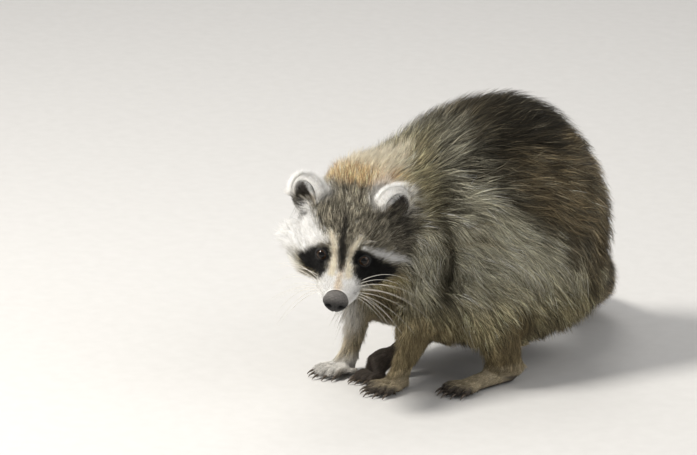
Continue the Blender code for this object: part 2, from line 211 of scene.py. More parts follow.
def twoTones(material, grain, low, high):
    ramp = addNode(material, "ShaderNodeValToRGB")
    ramp.color_ramp.elements[0].color = (*low, 1)
    ramp.color_ramp.elements[1].color = (*high, 1)
    material.node_tree.links.new(grain, ramp.inputs["Fac"])
    material.node_tree.links.new(ramp.outputs["Color"], shaderOf(material).inputs["Base Color"])


def ownTones(material, grain, blend, share):      # the piece's own colours, with a grain
    shade = addNode(material, "ShaderNodeAttribute")
    shade.attribute_name = "coatTone"
    mix = addNode(material, "ShaderNodeMix")
    mix.data_type = "RGBA"
    mix.blend_type = blend
    mix.inputs["Factor"].default_value = share
    material.node_tree.links.new(shade.outputs["Color"], mix.inputs[6])
    material.node_tree.links.new(grain, mix.inputs[7])
    material.node_tree.links.new(mix.outputs[2], shaderOf(material).inputs["Base Color"])
    return shade.outputs["Fac"]


floorPlan = {"half": 9.0, "below": 0.4 * mm, "colour": (0.62, 0.61, 0.59), "speckle": 0.03}


def addFloor():
    shape = bmesh.new()
    bmesh.ops.create_grid(shape, x_segments=12, y_segments=12, size=floorPlan["half"])
    floor = addObject("floor", meshOf(shape, "floor"))
    floor.location.z = -floorPlan["below"]
    material = newMaterial("paleFloor", 0.85)
    grain = addGrain(material, "ShaderNodeTexNoise", "Fac", Scale=60.0, Detail=4.0)
    colour = np.array(floorPlan["colour"])
    twoTones(material, grain, colour - floorPlan["speckle"], colour + floorPlan["speckle"])
    floor.data.materials.append(material)
    floor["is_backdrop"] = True


addCamera()
addLights()
addFloor()
print("camera, lights and floor are up")


def meshFromArrays(name, points, faces):
    corners = np.array([len(face) for face in faces])
    return meshFromFlat(name, points, np.concatenate([np.asarray(face) for face in faces]), corners)


def meshFromFlat(name, points, flat, corners):
    mesh = bpy.data.meshes.new(name)
    mesh.vertices.add(len(points))
    mesh.vertices.foreach_set("co", np.asarray(points, np.float32).ravel())
    mesh.loops.add(len(flat))
    mesh.loops.foreach_set("vertex_index", flat.astype(np.int32))
    mesh.polygons.add(len(corners))
    starts = np.concatenate([[0], np.cumsum(corners)[:-1]])
    mesh.polygons.foreach_set("loop_start", starts.astype(np.int32))
    mesh.update(calc_edges=True)
    mesh.shade_smooth()
    return mesh


def arraysOf(mesh):
    points = np.zeros(len(mesh.vertices) * 3, np.float32)
    mesh.vertices.foreach_get("co", points)
    mesh.calc_loop_triangles()
    triangles = np.zeros(len(mesh.loop_triangles) * 3, np.int32)
    mesh.loop_triangles.foreach_get("vertices", triangles)
    edges = np.zeros(len(mesh.edges) * 2, np.int32)
    mesh.edges.foreach_get("vertices", edges)
    return points.reshape(-1, 3).astype(float), triangles.reshape(-1, 3), edges.reshape(-1, 2)


def gather(index, values, count):
    sums = [np.bincount(index, weights=column, minlength=count) for column in values.T]
    return np.stack(sums, 1)


def normalsOf(points, triangles):
    a, b, c = (points[triangles[:, k]] for k in range(3))
    faceNormals = np.cross(b - a, c - a)
    return unit(sum(gather(triangles[:, k], faceNormals, len(points)) for k in range(3)))


def evened(values, edges, rounds, keep=0.5):
    flat = values.ndim == 1
    values = values[:, None] if flat else values
    count = len(values)
    valence = np.bincount(edges.ravel(), minlength=count)[:, None]
    a, b = edges.T
    for _ in range(rounds):
        around = gather(a, values[b], count) + gather(b, values[a], count)
        values = keep * values + (1 - keep) * around / np.maximum(valence, 1)
    return values[:, 0] if flat else values


swellBack = 0.52


def calmed(points, edges, rounds):      # smooths, then swells back to keep the volume
    for _ in range(rounds):
        points = evened(points, edges, 1, 0.5)
        points = evened(points, edges, 1, 1 + swellBack)
    return points


def voxelSkin(name, points, faces, voxel):
    rough = addObject(name, meshFromArrays(name, points, faces))
    remesh = rough.modifiers.new("fuse", "REMESH")
    remesh.mode = "VOXEL"
    remesh.voxel_size = voxel
    graph = bpy.context.evaluated_depsgraph_get()
    fused = bpy.data.meshes.new_from_object(rough.evaluated_get(graph))
    bpy.data.objects.remove(rough)
    shape = bmesh.new()
    shape.from_mesh(fused)
    bpy.data.meshes.remove(fused)
    shape.verts.ensure_lookup_table()
    left = set(range(len(shape.verts)))
    biggest = set()
    while left:
        queue = [left.pop()]
        island = set(queue)
        while queue:
            for edge in shape.verts[queue.pop()].link_edges:
                for vertex in edge.verts:
                    if vertex.index in left:
                        left.discard(vertex.index)
                        island.add(vertex.index)
                        queue.append(vertex.index)
        biggest = max(biggest, island, key=len)
    loose = [vertex for vertex in shape.verts if vertex.index not in biggest]
    bmesh.ops.delete(shape, geom=loose, context="VERTS")
    return shape


def treeOf(points, triangles):
    return BVHTree.FromPolygons(points.tolist(), triangles.tolist())


def nearestOn(tree, points):
    found = [tree.find_nearest(Vector(point)) for point in points.tolist()]
    places = np.array([hit[0] for hit in found])
    facing = np.array([hit[1] for hit in found])
    return places, facing, np.array([hit[2] for hit in found])


def cloud(points, scale, seed):      # soft patchiness from about -1 to 1
    waves = np.random.default_rng(seed)
    total = np.zeros(len(points))
    for _ in range(7):
        direction = unit(waves.normal(size=3)) * waves.uniform(0.7, 1.5) / scale
        total += np.sin(points @ direction * math.tau + waves.uniform(0, math.tau))
    return total / 3.2


outlinePlan = {"voxel": 2.4 * mm, "swell": 0.4 * mm, "rounds": 3}


def coatOutline():
    shape = bmesh.new()
    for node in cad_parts.values():
        shape.from_mesh(node.data)
    bmesh.ops.remove_doubles(shape, verts=shape.verts, dist=0.01 * mm)
    shape.normal_update()
    for vertex in shape.verts:
        vertex.co += vertex.normal * outlinePlan["swell"]      # closes the thin gaps between the solids
    rough = meshOf(shape, "solids")
    points, triangles, _ = arraysOf(rough)
    bpy.data.meshes.remove(rough)
    mesh = meshOf(voxelSkin("outline", points, triangles, outlinePlan["voxel"]), "outline")
    points, triangles, edges = arraysOf(mesh)
    bpy.data.meshes.remove(mesh)
    return calmed(points, edges, outlinePlan["rounds"]), triangles, edges


outlinePoints, outlineTriangles, outlineEdges = coatOutline()
outlineTree = treeOf(outlinePoints, outlineTriangles)
print("coat outline", len(outlinePoints), "points")


def nodeShares():
    names, points, triangles, owner = [], [], [], []
    for name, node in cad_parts.items():
        nodePoints, nodeTriangles, _ = arraysOf(node.data)
        triangles.append(nodeTriangles + sum(len(p) for p in points))
        points.append(nodePoints)
        owner.append(np.full(len(nodeTriangles), len(names)))
        names.append(name)
    _, _, face = nearestOn(treeOf(np.concatenate(points), np.concatenate(triangles)), outlinePoints)
    shares = np.eye(len(names))[np.concatenate(owner)[face]]
    return names, evened(shares, outlineEdges, 10)


nodeNames, outlineShares = nodeShares()

# each stretch of the coat: skin depth, hair length and hair width in millimetres, hairs per square centimetre
coatPlan = {
    "trunk": {"depth": 16, "length": 40, "width": 0.52, "hairs": 60},
    "neck": {"depth": 13, "length": 27, "width": 0.42, "hairs": 85},
    "head": {"depth": 7, "length": 12, "width": 0.26, "hairs": 170},
    "tail": {"depth": 12, "length": 32, "width": 0.5, "hairs": 60},
    "ear": {"depth": 1.2, "length": 8.0, "width": 0.27, "hairs": 250},
    "upper_arm": {"depth": 12, "length": 32, "width": 0.5, "hairs": 66},
    "forearm": {"depth": 6, "length": 19, "width": 0.42, "hairs": 100},
    "thigh": {"depth": 15, "length": 38, "width": 0.52, "hairs": 60},
    "shank": {"depth": 8, "length": 24, "width": 0.45, "hairs": 90},
    "fore_foot": {"depth": 1.1, "length": 6.5, "width": 0.3, "hairs": 150},
    "hind_foot": {"depth": 1.1, "length": 6.0, "width": 0.3, "hairs": 130},
    "eye": {"depth": 2.6, "length": 4.5, "width": 0.22, "hairs": 170},
    "nose": {"depth": 1.6, "length": 3.5, "width": 0.2, "hairs": 170},
}


def shareOf(shares, *starts):
    return sum(shares[:, k] for k, name in enumerate(nodeNames) if name.startswith(starts))


def coatField(shares, key):
    return sum(plan[key] * shareOf(shares, start) for start, plan in coatPlan.items())


def faceShare(head):
    front = ease(head[:, 1], -4.5, 0.8)      # 0 at the back of the head, 1 on the face
    muzzle = ease(head[:, 1], 0.4, 2.6)
    cheek = ease(np.abs(head[:, 0]), 3.6, 6.2) * ease(-head[:, 1], -0.5, 2.5)
    return front, muzzle, cheek


facePlan = {      # in millimetres: back of the head, face, muzzle, cheek
    "depth": (7.0, 4.0, 2.0, 11.0), "length": (12.5, 8.0, 4.5, 25.0),
}


def headField(head, key):
    front, muzzle, cheek = faceShare(head)
    atBack, onFace, onMuzzle, onCheek = facePlan[key]
    value = atBack + (onFace - atBack) * front
    value = value + (onMuzzle - value) * muzzle
    return value + (onCheek - value) * cheek


def coatDepth(points, shares):
    onHead = shareOf(shares, "head")
    depth = coatField(shares, "depth")
    return (depth + onHead * (headField(inHead(points), "depth") - coatPlan["head"]["depth"])) * mm


earPlan = {      # middles and half sizes in centimetres
    "left": {"base": (4.15, -4.5, 2.85), "lean": 9.0}, "right": {"base": (-4.15, -4.9, 2.6), "lean": 16.0},
    "turn": 24.0, "back": 8.0, "hole": (0.28, 1.2, 0.98, 1.2),
    "shell": ((0, 0, 1.1), (1.78, 0.88, 1.98)), "hollow": ((0.1, 0.82, 1.25), (1.34, 1.2, 1.52)),
}


def rotation(axis, degrees):
    a = math.radians(degrees)
    c, s = math.cos(a), math.sin(a)
    return np.array({
        "x": ((1, 0, 0), (0, c, -s), (0, s, c)),
        "y": ((c, 0, s), (0, 1, 0), (-s, 0, c)),
        "z": ((c, -s, 0), (s, c, 0), (0, 0, 1)),
    }[axis])


def earTurn(side):
    sign = signOf[side]
    lean = rotation("y", sign * earPlan[side]["lean"])
    return lean @ rotation("x", earPlan["back"]) @ rotation("z", -sign * earPlan["turn"])


def inEar(points, side):      # centimetres: across, out of the opening, to the tip
    return (inHead(points) - np.array(earPlan[side]["base"])) @ earTurn(side)


def fromEar(points, side):
    return fromHead(np.array(earPlan[side]["base"]) + np.asarray(points, float) @ earTurn(side).T)


def lathe(profile, segments, place):
    points = [place(0.0, 0.0)]      # a closed round form: profile gives the angle of each ring
    for angle in profile[1:-1]:
        points += [place(angle, math.tau * k / segments) for k in range(segments)]
    points.append(place(profile[-1], 0.0))
    faces = [(0, 1 + k, 1 + (k + 1) % segments) for k in range(segments)]
    for ring in range(len(profile) - 3):
        a, b = 1 + ring * segments, 1 + (ring + 1) * segments
        faces += [(a + k, b + k, b + (k + 1) % segments, a + (k + 1) % segments) for k in range(segments)]
    last = len(points) - 1
    a = last - segments
    faces += [(a + k, last, a + (k + 1) % segments) for k in range(segments)]
    return np.array(points), faces


feetPlan = {      # ball of each foot, its turn, the toes' fan, width and length
    "fore_foot_left": {"ball": (3.2, -10.6), "turn": 0.0, "fan": 9.0, "width": 2.5, "long": 2.5},
    "fore_foot_right": {"ball": (-5.1, -11.1), "turn": 4.0, "fan": 9.0, "width": 2.5, "long": 2.5},
    "hind_foot_left": {"ball": (8.0, -4.6), "turn": 4.0, "fan": 8.0, "width": 2.7, "long": 2.4},
    "hind_foot_right": {"ball": (-1.1, -9.2), "turn": -4.0, "fan": 3.0, "width": 2.3, "long": 2.4},
}


def footFrame(foot):
    plan = feetPlan[foot]
    turn = math.radians(180 + plan["turn"])
    axes = np.array(((-math.cos(turn), -math.sin(turn), 0), (-math.sin(turn), math.cos(turn), 0), (0, 0, 1)))
    return axes, bodyOrigin + np.array((*plan["ball"], -0.15)) * cm


def toeLines(foot):
    plan = feetPlan[foot]
    axes, ball = footFrame(foot)
    found = []
    for number in range(5):
        across = (number - 2) / 2
        long = plan["long"] * (1 - 0.22 * abs(across) ** 1.5)
        angle = math.radians(across * 2 * plan["fan"])
        forward = np.array((math.sin(angle), math.cos(angle), 0))
        root = np.array((across * 0.42 * plan["width"], -0.3 * abs(across), 0.72))
        knuckle = root + forward * 0.48 * long + (0, 0, 0.16)
        tip = root + forward * long
        tip[2] = 0.40
        found.append(np.array((root, knuckle, tip, tip + forward)) @ axes * cm + ball)
    return found


def toeShare(points):
    share = np.zeros(len(points))
    for foot in feetPlan:
        for root, _, tip, _ in toeLines(foot):
            along = tip - root
            t = (points - root) @ along / (along @ along)
            off = np.linalg.norm(points - root - np.clip(t, 0, 1.2)[:, None] * along, axis=1)
            share = np.maximum(share, ease(t, 0.15, 0.7) * ease(-off, -0.008, -0.005))
    return share


skinPlan = {
    "steps": 5, "voxel": 2.0 * mm, "thinnest": 0.36,
    "faceReach": 62 * mm, "eyeReach": 17 * mm, "noseReach": 21 * mm,
}


def insetSkin():
    points = outlinePoints.copy()
    normals = normalsOf(points, outlineTriangles)
    depth = coatDepth(points, outlineShares)
    room = np.full(len(points), 1.0)
    for k, (point, normal) in enumerate(zip(points.tolist(), normals.tolist())):
        inward = -Vector(normal)
        hit = outlineTree.ray_cast(Vector(point) + inward * 0.5 * mm, inward)
        if hit[3] is not None:
            room[k] = hit[3]
    depth = evened(np.minimum(depth, room * skinPlan["thinnest"]), outlineEdges, 6)
    for _ in range(skinPlan["steps"]):
        points = points - normals * (depth / skinPlan["steps"])[:, None]
        points = calmed(points, outlineEdges, 1)
        normals = unit(evened(normalsOf(points, outlineTriangles), outlineEdges, 3))
    return points


def tuckCheeks(points):
    head = inHead(points)      # the cheek's corner is hair alone, so the skin stays well inside
    side, front, up = head.T
    beyond = np.maximum(np.abs(side) - 4.9, 0) * ease(-front, 0.5, 2.5) * ease(front, -9.5, -7.5)
    beyond = beyond * ease(-up, -1.2, -0.2) * ease(up, -6.5, -5.0)
    head[:, 0] = side - np.sign(side) * beyond * 0.5
    return fromHead(head)


def drawInToes(points):
    for foot, plan in feetPlan.items():      # leaves the stump that the toes grow from
        axes, ball = footFrame(foot)
        local = (points - ball) @ axes.T / cm
        across, along, up = local.T
        near = (np.abs(across) < 0.5 * plan["width"] + 1.3) & (along > 0.3) & (along < 4.2) & (up < 2.6)
        local[near, 1] = 0.3 + (along[near] - 0.3) * 0.12
        points = np.where(near[:, None], local * cm @ axes + ball, points)
    return points


def drawInEars(points):
    for side in signOf:      # the ears are made anew, with a finer rim
        share = ease(shareOf(outlineShares, f"ear_{side}"), 0.15, 0.5)
        local = inEar(points, side)
        local[:, 2] -= share * np.maximum(local[:, 2] - 0.1, 0) * 0.9
        points = np.where(share[:, None] > 0, fromEar(local, side), points)
    return points


def curved(stations, steps):
    stations = np.asarray(stations, float)      # a smooth curve through the stations
    ends = np.concatenate([[2 * stations[0] - stations[1]], stations, [2 * stations[-1] - stations[-2]]])
    found = []
    for a, b, c, d in zip(ends, ends[1:], ends[2:], ends[3:]):
        for t in np.arange(steps) / steps:
            found.append(b + 0.5 * t * (c - a + t * (2 * a - 5 * b + 4 * c - d + t * (3 * (b - c) + d - a))))
    return np.array([*found, stations[-1]])


def taperedTube(line, radii, sides=6):
    line = np.asarray(line, float)      # closed tube along line, ending in points
    ways = unit(np.gradient(line, axis=0))
    first = unit(np.cross(ways[0], (0.3, 0.2, 0.9)))
    points, faces = [line[0]], []
    for k in range(1, len(line) - 1):
        first = unit(first - ways[k] * (first @ ways[k]))
        second = np.cross(ways[k], first)
        for s in range(sides):
            a = math.tau * s / sides
            points.append(line[k] + (first * math.cos(a) + second * math.sin(a)) * radii[k])
    points.append(line[-1])
    for s in range(sides):
        faces.append((0, 1 + (s + 1) % sides, 1 + s))
    for k in range(len(line) - 3):
        a, b = 1 + k * sides, 1 + (k + 1) * sides
        faces += [(a + s, a + (s + 1) % sides, b + (s + 1) % sides, b + s) for s in range(sides)]
    last = len(points) - 1
    faces += [(last - sides + s, last - sides + (s + 1) % sides, last) for s in range(sides)]
    return np.array(points), faces


def joined(parts):
    points, faces, start = [], [], 0
    for partPoints, partFaces in parts:
        points.append(partPoints)
        faces += [[k + start for k in face] for face in partFaces]
        start += len(partPoints)
    return np.concatenate(points), faces


toePlan = {
    "radii": (0, 2.6, 3.4, 3.7, 3.7, 3.5, 3.2, 3.0, 3.0, 3.2, 3.3, 3.0, 2.2, 0), "sides": 14,
    "voxel": 0.9 * mm,
}


def toesSkin():
    parts = []
    stations = np.arange(len(toePlan["radii"]))
    for foot in feetPlan:
        for root, knuckle, tip, _ in toeLines(foot):
            inside = root + (root - tip) * 0.25 - np.array((0, 0, 0.1)) * cm
            joint = knuckle + (tip - knuckle) * 0.55 + np.array((0, 0, 0.10)) * cm
            line = curved([inside, root, knuckle, joint, tip], 4)
            radii = np.interp(np.linspace(0, stations[-1], len(line)), stations, toePlan["radii"]) * mm
            parts.append(taperedTube(line, radii, toePlan["sides"]))
    return joined(parts)


def earShapes(key):
    (x, y, z), (wide, deep, tall) = earPlan[key]
    parts = []
    for side, sign in signOf.items():
        def place(angle, around):
            a = math.radians(angle)
            ring, turn, rise = math.sin(a), math.cos(around), math.sin(around)
            if rise < 0:      # the sides run straight down to the head
                turn = math.copysign(abs(turn) ** 0.45, turn)
            local = (sign * x + wide * ring * turn, y + deep * math.cos(a), z + tall * ring * rise)
            return fromEar(local, side)

        parts.append(lathe(np.linspace(0, 180, 36), 56, place))
    return parts


def withToesAndEars(body):
    points, faces = joined([toesSkin(), *earShapes("shell")])
    rough = addObject("toes", meshFromArrays("toes", points, faces))
    hollows = addObject("hollows", meshFromArrays("hollows", *joined(earShapes("hollow"))))
    hollow = rough.modifiers.new("hollow", "BOOLEAN")
    hollow.operation = "DIFFERENCE"
    hollow.solver = "MANIFOLD"
    hollow.object = hollows
    remesh = rough.modifiers.new("fuse", "REMESH")
    remesh.mode = "VOXEL"
    remesh.voxel_size = toePlan["voxel"]
    whole = addObject("body", body)
    union = whole.modifiers.new("grow", "BOOLEAN")
    union.operation = "UNION"
    union.solver = "MANIFOLD"
    union.object = rough
    graph = bpy.context.evaluated_depsgraph_get()
    grown = bpy.data.meshes.new_from_object(whole.evaluated_get(graph))
    grown.materials.clear()
    for made in (whole, rough, hollows):
        bpy.data.objects.remove(made)
    bpy.data.meshes.remove(body)
    return grown


def earRoots(points):
    share = np.zeros(len(points))      # 1 where the ears leave the head
    for side in signOf:
        across, opening, up = inEar(points, side).T
        ring = 1 - ease(np.hypot(across / 2.0, opening / 1.2), 1.2, 1.6)
        share = np.maximum(share, (1 - ease(np.abs(up - 0.2), 0.3, 1.0)) * ring)
    return share[:, None]


def toeRoots(points):
    share = np.zeros(len(points))      # 1 where the toes leave the foot
    for foot in feetPlan:
        for root, knuckle, _, _ in toeLines(foot):
            away = np.linalg.norm(points - (root + knuckle) / 2, axis=1)
            share = np.maximum(share, 1 - ease(away, 4 * mm, 9 * mm))
    return share[:, None]


def refine(shape, centre, reach):
    near = {v for v in shape.verts if (v.co - centre).length < reach}
    edges = [e for e in shape.edges if e.verts[0] in near and e.verts[1] in near]
    bmesh.ops.subdivide_edges(shape, edges=edges, cuts=1, use_grid_fill=True, smooth=0.6)


def skinMesh():
    points = drawInEars(drawInToes(tuckCheeks(insetSkin())))
    shape = voxelSkin("skin", points, outlineTriangles, skinPlan["voxel"])
    refine(shape, Vector(fromHead((0, 0.4, -0.6))), skinPlan["faceReach"])
    for eye in eyeMiddles.values():
        refine(shape, Vector(eye), skinPlan["eyeReach"])
    refine(shape, Vector(noseMiddle), skinPlan["noseReach"])
    bmesh.ops.triangulate(shape, faces=[f for f in shape.faces if len(f.verts) > 4])
    return withToesAndEars(meshOf(shape, "skin"))


skinData = skinMesh()
skinData.name = "skin"
skinPoints, skinTriangles, skinEdges = arraysOf(skinData)
skinPoints = calmed(skinPoints, skinEdges, 2)
rooted = np.maximum(toeRoots(skinPoints), earRoots(skinPoints))
skinPoints += (calmed(skinPoints, skinEdges, 6) - skinPoints) * rooted
print("skin", len(skinPoints), "points", len(skinTriangles), "triangles")

eyePlan = {
    "radius": 7.5 * mm, "outward": 14.0, "upward": 20.0,
    "openWide": 47.0, "openTall": 39.0, "rim": 0.95 * mm, "behind": 1.3 * mm,
}


def eyeAxes(side, outward, upward):
    turn, rise = math.radians(outward), math.radians(upward)
    level = headFront * math.cos(turn) + signOf[side] * headSide * math.sin(turn)
    out = level * math.cos(rise) + headUp * math.sin(rise)
    across = unit(np.cross(out, headUp))      # towards the animal's left
    return across, unit(np.cross(across, out)), out


def lidLevel(side, points):      # 1 on the edge of the lids
    across, up, out = eyeAxes(side, eyePlan["outward"], eyePlan["upward"])
    away = points - eyeMiddles[side]
    distance = np.linalg.norm(away, axis=1)
    ray = away / np.maximum(distance, 1e-9)[:, None]
    wide = np.degrees(np.arctan2(ray @ across * signOf[side], ray @ out))
    tall = np.degrees(np.arcsin(np.clip(ray @ up, -1, 1))) + 0.10 * wide      # higher at the outer corner
    level = np.abs(wide / eyePlan["openWide"]) ** 1.7 + np.abs(tall / eyePlan["openTall"]) ** 1.9
    return np.where(ray @ out < 0.1, 9.0, level), distance, ray


def shapeLids(points):
    points = points.copy()
    for side in signOf:
        level, distance, ray = lidLevel(side, points)
        near = distance < 2.4 * eyePlan["radius"]
        lid = eyePlan["radius"] + eyePlan["rim"] * (1 - 0.6 * ease(-level, -1.25, -1.0))
        hold = 1 - ease(level, 1.36, 2.34)
        shaped = distance + (lid - distance) * hold
        shaped = np.where(level < 8, np.maximum(shaped, eyePlan["radius"] + 0.35 * mm), shaped)
        shaped = np.where(level <= 1, eyePlan["radius"] - eyePlan["behind"], shaped)
        moved = eyeMiddles[side] + ray * shaped[:, None]
        points[near] = moved[near]
    return points


mouthPlan = {      # one side of the lips, in head centimetres, radius 0
    "line": [(0, 5.0, -3.45, 0), (0.7, 4.5, -3.6, 0), (1.35, 3.4, -3.65, 0), (1.8, 2.0, -3.6, 0),
             (2.15, 0.9, -3.35, 0)],
    "deep": 1.7 * mm, "wide": 1.1 * mm,
}


def strokeDistance(points, stations):
    best = np.full(len(points), 1e9)      # a station is a point, then the stroke's radius there
    for start, stop in zip(stations[:-1], stations[1:]):
        a, b = np.array(start[:-1], float), np.array(stop[:-1], float)
        along = b - a
        share = np.clip((points - a) @ along / (along @ along), 0, 1)
        off = np.linalg.norm(points - a - share[:, None] * along, axis=1)
        best = np.minimum(best, off - (start[-1] + share * (stop[-1] - start[-1])))
    return best


def mouthDistance(points):
    head = inHead(points)
    head[:, 0] = np.abs(head[:, 0])
    return strokeDistance(head, mouthPlan["line"]) * cm


def shapeMouth(points, triangles):
    normals = normalsOf(points, triangles)
    dent = np.exp(-(mouthDistance(points) / mouthPlan["wide"]) ** 2) * mouthPlan["deep"]
    return points - normals * dent[:, None]


noseBed = {"halves": (1.22, 0.86, 1.08), "deep": 0.55 * cm}


def noseOffset(points):      # 1 where the skin meets the nose pad
    return np.linalg.norm((inHead(points) - inHead(noseMiddle[None])) / np.array(noseBed["halves"]), axis=1)


def sinkNoseBed(points):
    return points - headFront * (noseBed["deep"] * ease(-noseOffset(points), -1.0, -0.75))[:, None]


skinPoints = sinkNoseBed(shapeMouth(shapeLids(skinPoints), skinTriangles))
skinPoints[:, 2] = np.maximum(skinPoints[:, 2], 0.4 * mm)
skinNormals = normalsOf(skinPoints, skinTriangles)
_, _, nearFace = nearestOn(outlineTree, skinPoints)
skinShares = evened(outlineShares[outlineTriangles[nearFace, 0]], skinEdges, 6)
print("lids and lips are shaped")


def tone(red, green, blue):
    value = np.array((red, green, blue), float) / 255
    return np.where(value <= 0.04045, value / 12.92, ((value + 0.055) / 1.055) ** 2.4)


tones = {      # the same markings colour the skin and the coat
    "flank": tone(198, 193, 170), "flankLow": tone(156, 146, 114), "saddle": tone(36, 33, 25),
    # the dark shoulder tone serves random dark patches and the painted shadow behind the ruff
    "shoulder": tone(48, 43, 29), "khaki": tone(116, 109, 80), "belly": tone(140, 128, 100),
    "hip": tone(122, 109, 84), "rump": tone(80, 71, 52),
    # the cream tone for the top of the nape is painted sunlight
    "nape": tone(206, 174, 132), "napeTop": tone(240, 230, 206), "ruff": tone(206, 194, 158),
    "crown": tone(124, 118, 103), "white": tone(250, 248, 243), "cream": tone(246, 235, 213),
    "mask": tone(20, 18, 16), "stripe": tone(38, 35, 31), "bridge": tone(216, 190, 156),
    "cheek": tone(182, 166, 124), "leg": tone(180, 164, 128), "legDark": tone(104, 91, 64),
    "foot": tone(206, 198, 184), "sole": tone(48, 42, 38), "toe": tone(84, 76, 68),
    "earInside": tone(96, 90, 84), "earBack": tone(96, 88, 78), "lip": tone(30, 24, 22),
    "tailRing": tone(38, 33, 27), "tailPale": tone(166, 150, 120),
}


def coatOf(points, toneName):
    colours = np.tile(tones[toneName], (len(points), 1))

    def paint(name, share):
        colours[:] += (tones[name] - colours) * np.clip(share, 0, 1)[:, None]

    return colours, paint


def edgeOf(distance, softness):
    return ease(-distance, -softness, softness)


def chestShare(points):      # 1 on the white chest, between the fore legs
    x, y, z = points.T
    share = ease(-x, -0.035, -0.01) * ease(-y, 0.105, 0.125)
    return share * ease(z, 0.035, 0.055) * ease(-z, -0.15, -0.12)


def bodyReach(points):      # centimetres back along the flank, from the body's middle line
    return 60 * np.abs(points[:, 0] - bodyOrigin[0]) + 80 * points[:, 1]


hipLine = {"start": 0.65, "top": 23.9, "slope": 0.82}


def bodyTones(points, normals):
    x, y, z = points.T
    upward = normals[:, 2]
    reach, height = bodyReach(points), z / cm
    patch, speck, fine = cloud(points, 0.045, 11), cloud(points, 0.012, 12), cloud(points, 0.007, 14)
    colours, paint = coatOf(points, "flank")
    # darker low on the flank: partly the flank's own colour, partly painted shade under the body
    paint("flankLow", ease(-height, -13, -6))
    fold = reach - (hipLine["start"] + hipLine["slope"] * (hipLine["top"] - height)) + 1.2 * patch
    paint("hip", ease(fold + 0.9 * speck + 0.5 * fine, -2.2, 2.6))
    mottle = ease(0.7 * speck + 0.8 * fine, 0.1, 1.3) * ease(fold, 1.0, 4.0)
    paint("flank", mottle * 0.5)
    band = np.exp(-((fold + 0.8 * speck - 0.6) / 1.6) ** 2) * ease(height, 9, 14)
    paint("saddle", band * (0.62 - 0.2 * fine))
    paint("rump", ease(reach + 1.5 * patch, 11.5, 16))
    back = ease(upward + 0.10 * patch + 0.08 * speck, 0.42, 0.82) * ease(height, 17, 21)
    back = np.maximum(back, ease(height + 0.8 * patch + 0.8 * speck, 22.5, 25.0))
    back = back * ease(reach + patch + speck, -2.2, 2.2)
    paint("saddle", back * np.clip(0.88 - 0.22 * fine, 0, 1))
    # painted shadow: a dark valley across the body behind the neck's ruff
    valleyShadow = np.exp(-((reach + 3.0 + 0.4 * patch) / 1.25) ** 2) * ease(height, 6, 11)
    paint("shoulder", valleyShadow * (1 - 0.35 * ease(height, 19, 23)))
    withers = ease(-reach + 0.7 * speck, 3.2, 5.0) * ease(height, 18.5, 21.5)
    paint("khaki", withers * 0.85)
    bib = ease(-y, 0.115, 0.135) * ease(-height, -14, -11) * ease(-x, -0.06, -0.02)
    paint("cream", bib * 0.75)
    paint("white", 0.8 * chestShare(points))
    paint("shoulder", ease(patch + speck, 0.75, 1.5) * 0.5)
    paint("belly", ease(-upward, 0.3, 0.8))
    return colours


def faceLevel(head):      # height on the face, looked at square on
    return 0.857 * head[:, 2] - 0.515 * head[:, 1]


def neckTones(points, normals):
    head = inHead(points)
    level = faceLevel(head)
    colours, paint = coatOf(points, "ruff")
    reach, height = bodyReach(points), points[:, 2] / cm
    ragged = 0.8 * cloud(points, 0.012, 13)
    nape = ease(height + ragged, 19.0, 20.6) * ease(-reach - ragged, 7.0, 8.4)
    paint("nape", nape)
    # painted sunlight: the top of the neck is painted cream, as if lit from above
    paint("napeTop", ease(height + ragged, 22.4, 23.6) * ease(-reach, 5.5, 7.5) * 0.9)
    khaki = ease(reach + ragged, -8.0, -5.5) * ease(height, 17, 20)
    paint("khaki", khaki * 0.7)
    # painted shadow: the same dark valley behind the ruff, on the neck
    paint("shoulder", ease(reach + 0.5 * ragged, -4.6, -3.4) * (0.9 - 0.3 * khaki))
    besideCheek = ease(-head[:, 0], 3.0, 4.4) * ease(head[:, 1], -8.5, -6.0)
    paint("white", besideCheek * ease(-level, -3.6, -2.2) * 0.9)
    rightThroat = ease(-points[:, 0], -0.05, -0.01) * ease(-height, -15, -11)
    paint("white", rightThroat * 0.8)
    paint("leg", ease(-normals[:, 2], 0.0, 0.6) * 0.7)
    return colours


maskEdges = {      # corners of the mask on the face: to the side, and level
    "left": [
        (0.95, -0.41), (1.13, 0.67), (1.58, 0.87), (2.37, 0.7), (3.2, 0.31), (4.0, 0.1), (5.0, -0.13),
        (5.45, -0.37), (5.45, -0.88), (5.0, -1.53), (4.15, -2.18), (3.42, -2.48), (2.66, -2.52),
        (2.14, -2.25), (1.54, -1.73), (1.15, -1.0),
    ],
    "right": [
        (1.35, -0.1), (1.5, 0.62), (1.85, 0.72), (2.8, 0.6), (3.69, 0.13), (4.49, -0.32), (4.59, -0.68),
        (4.15, -1.28), (3.4, -1.79), (2.59, -2.1), (1.88, -2.34), (1.57, -1.85), (1.32, -0.95),
    ],
}
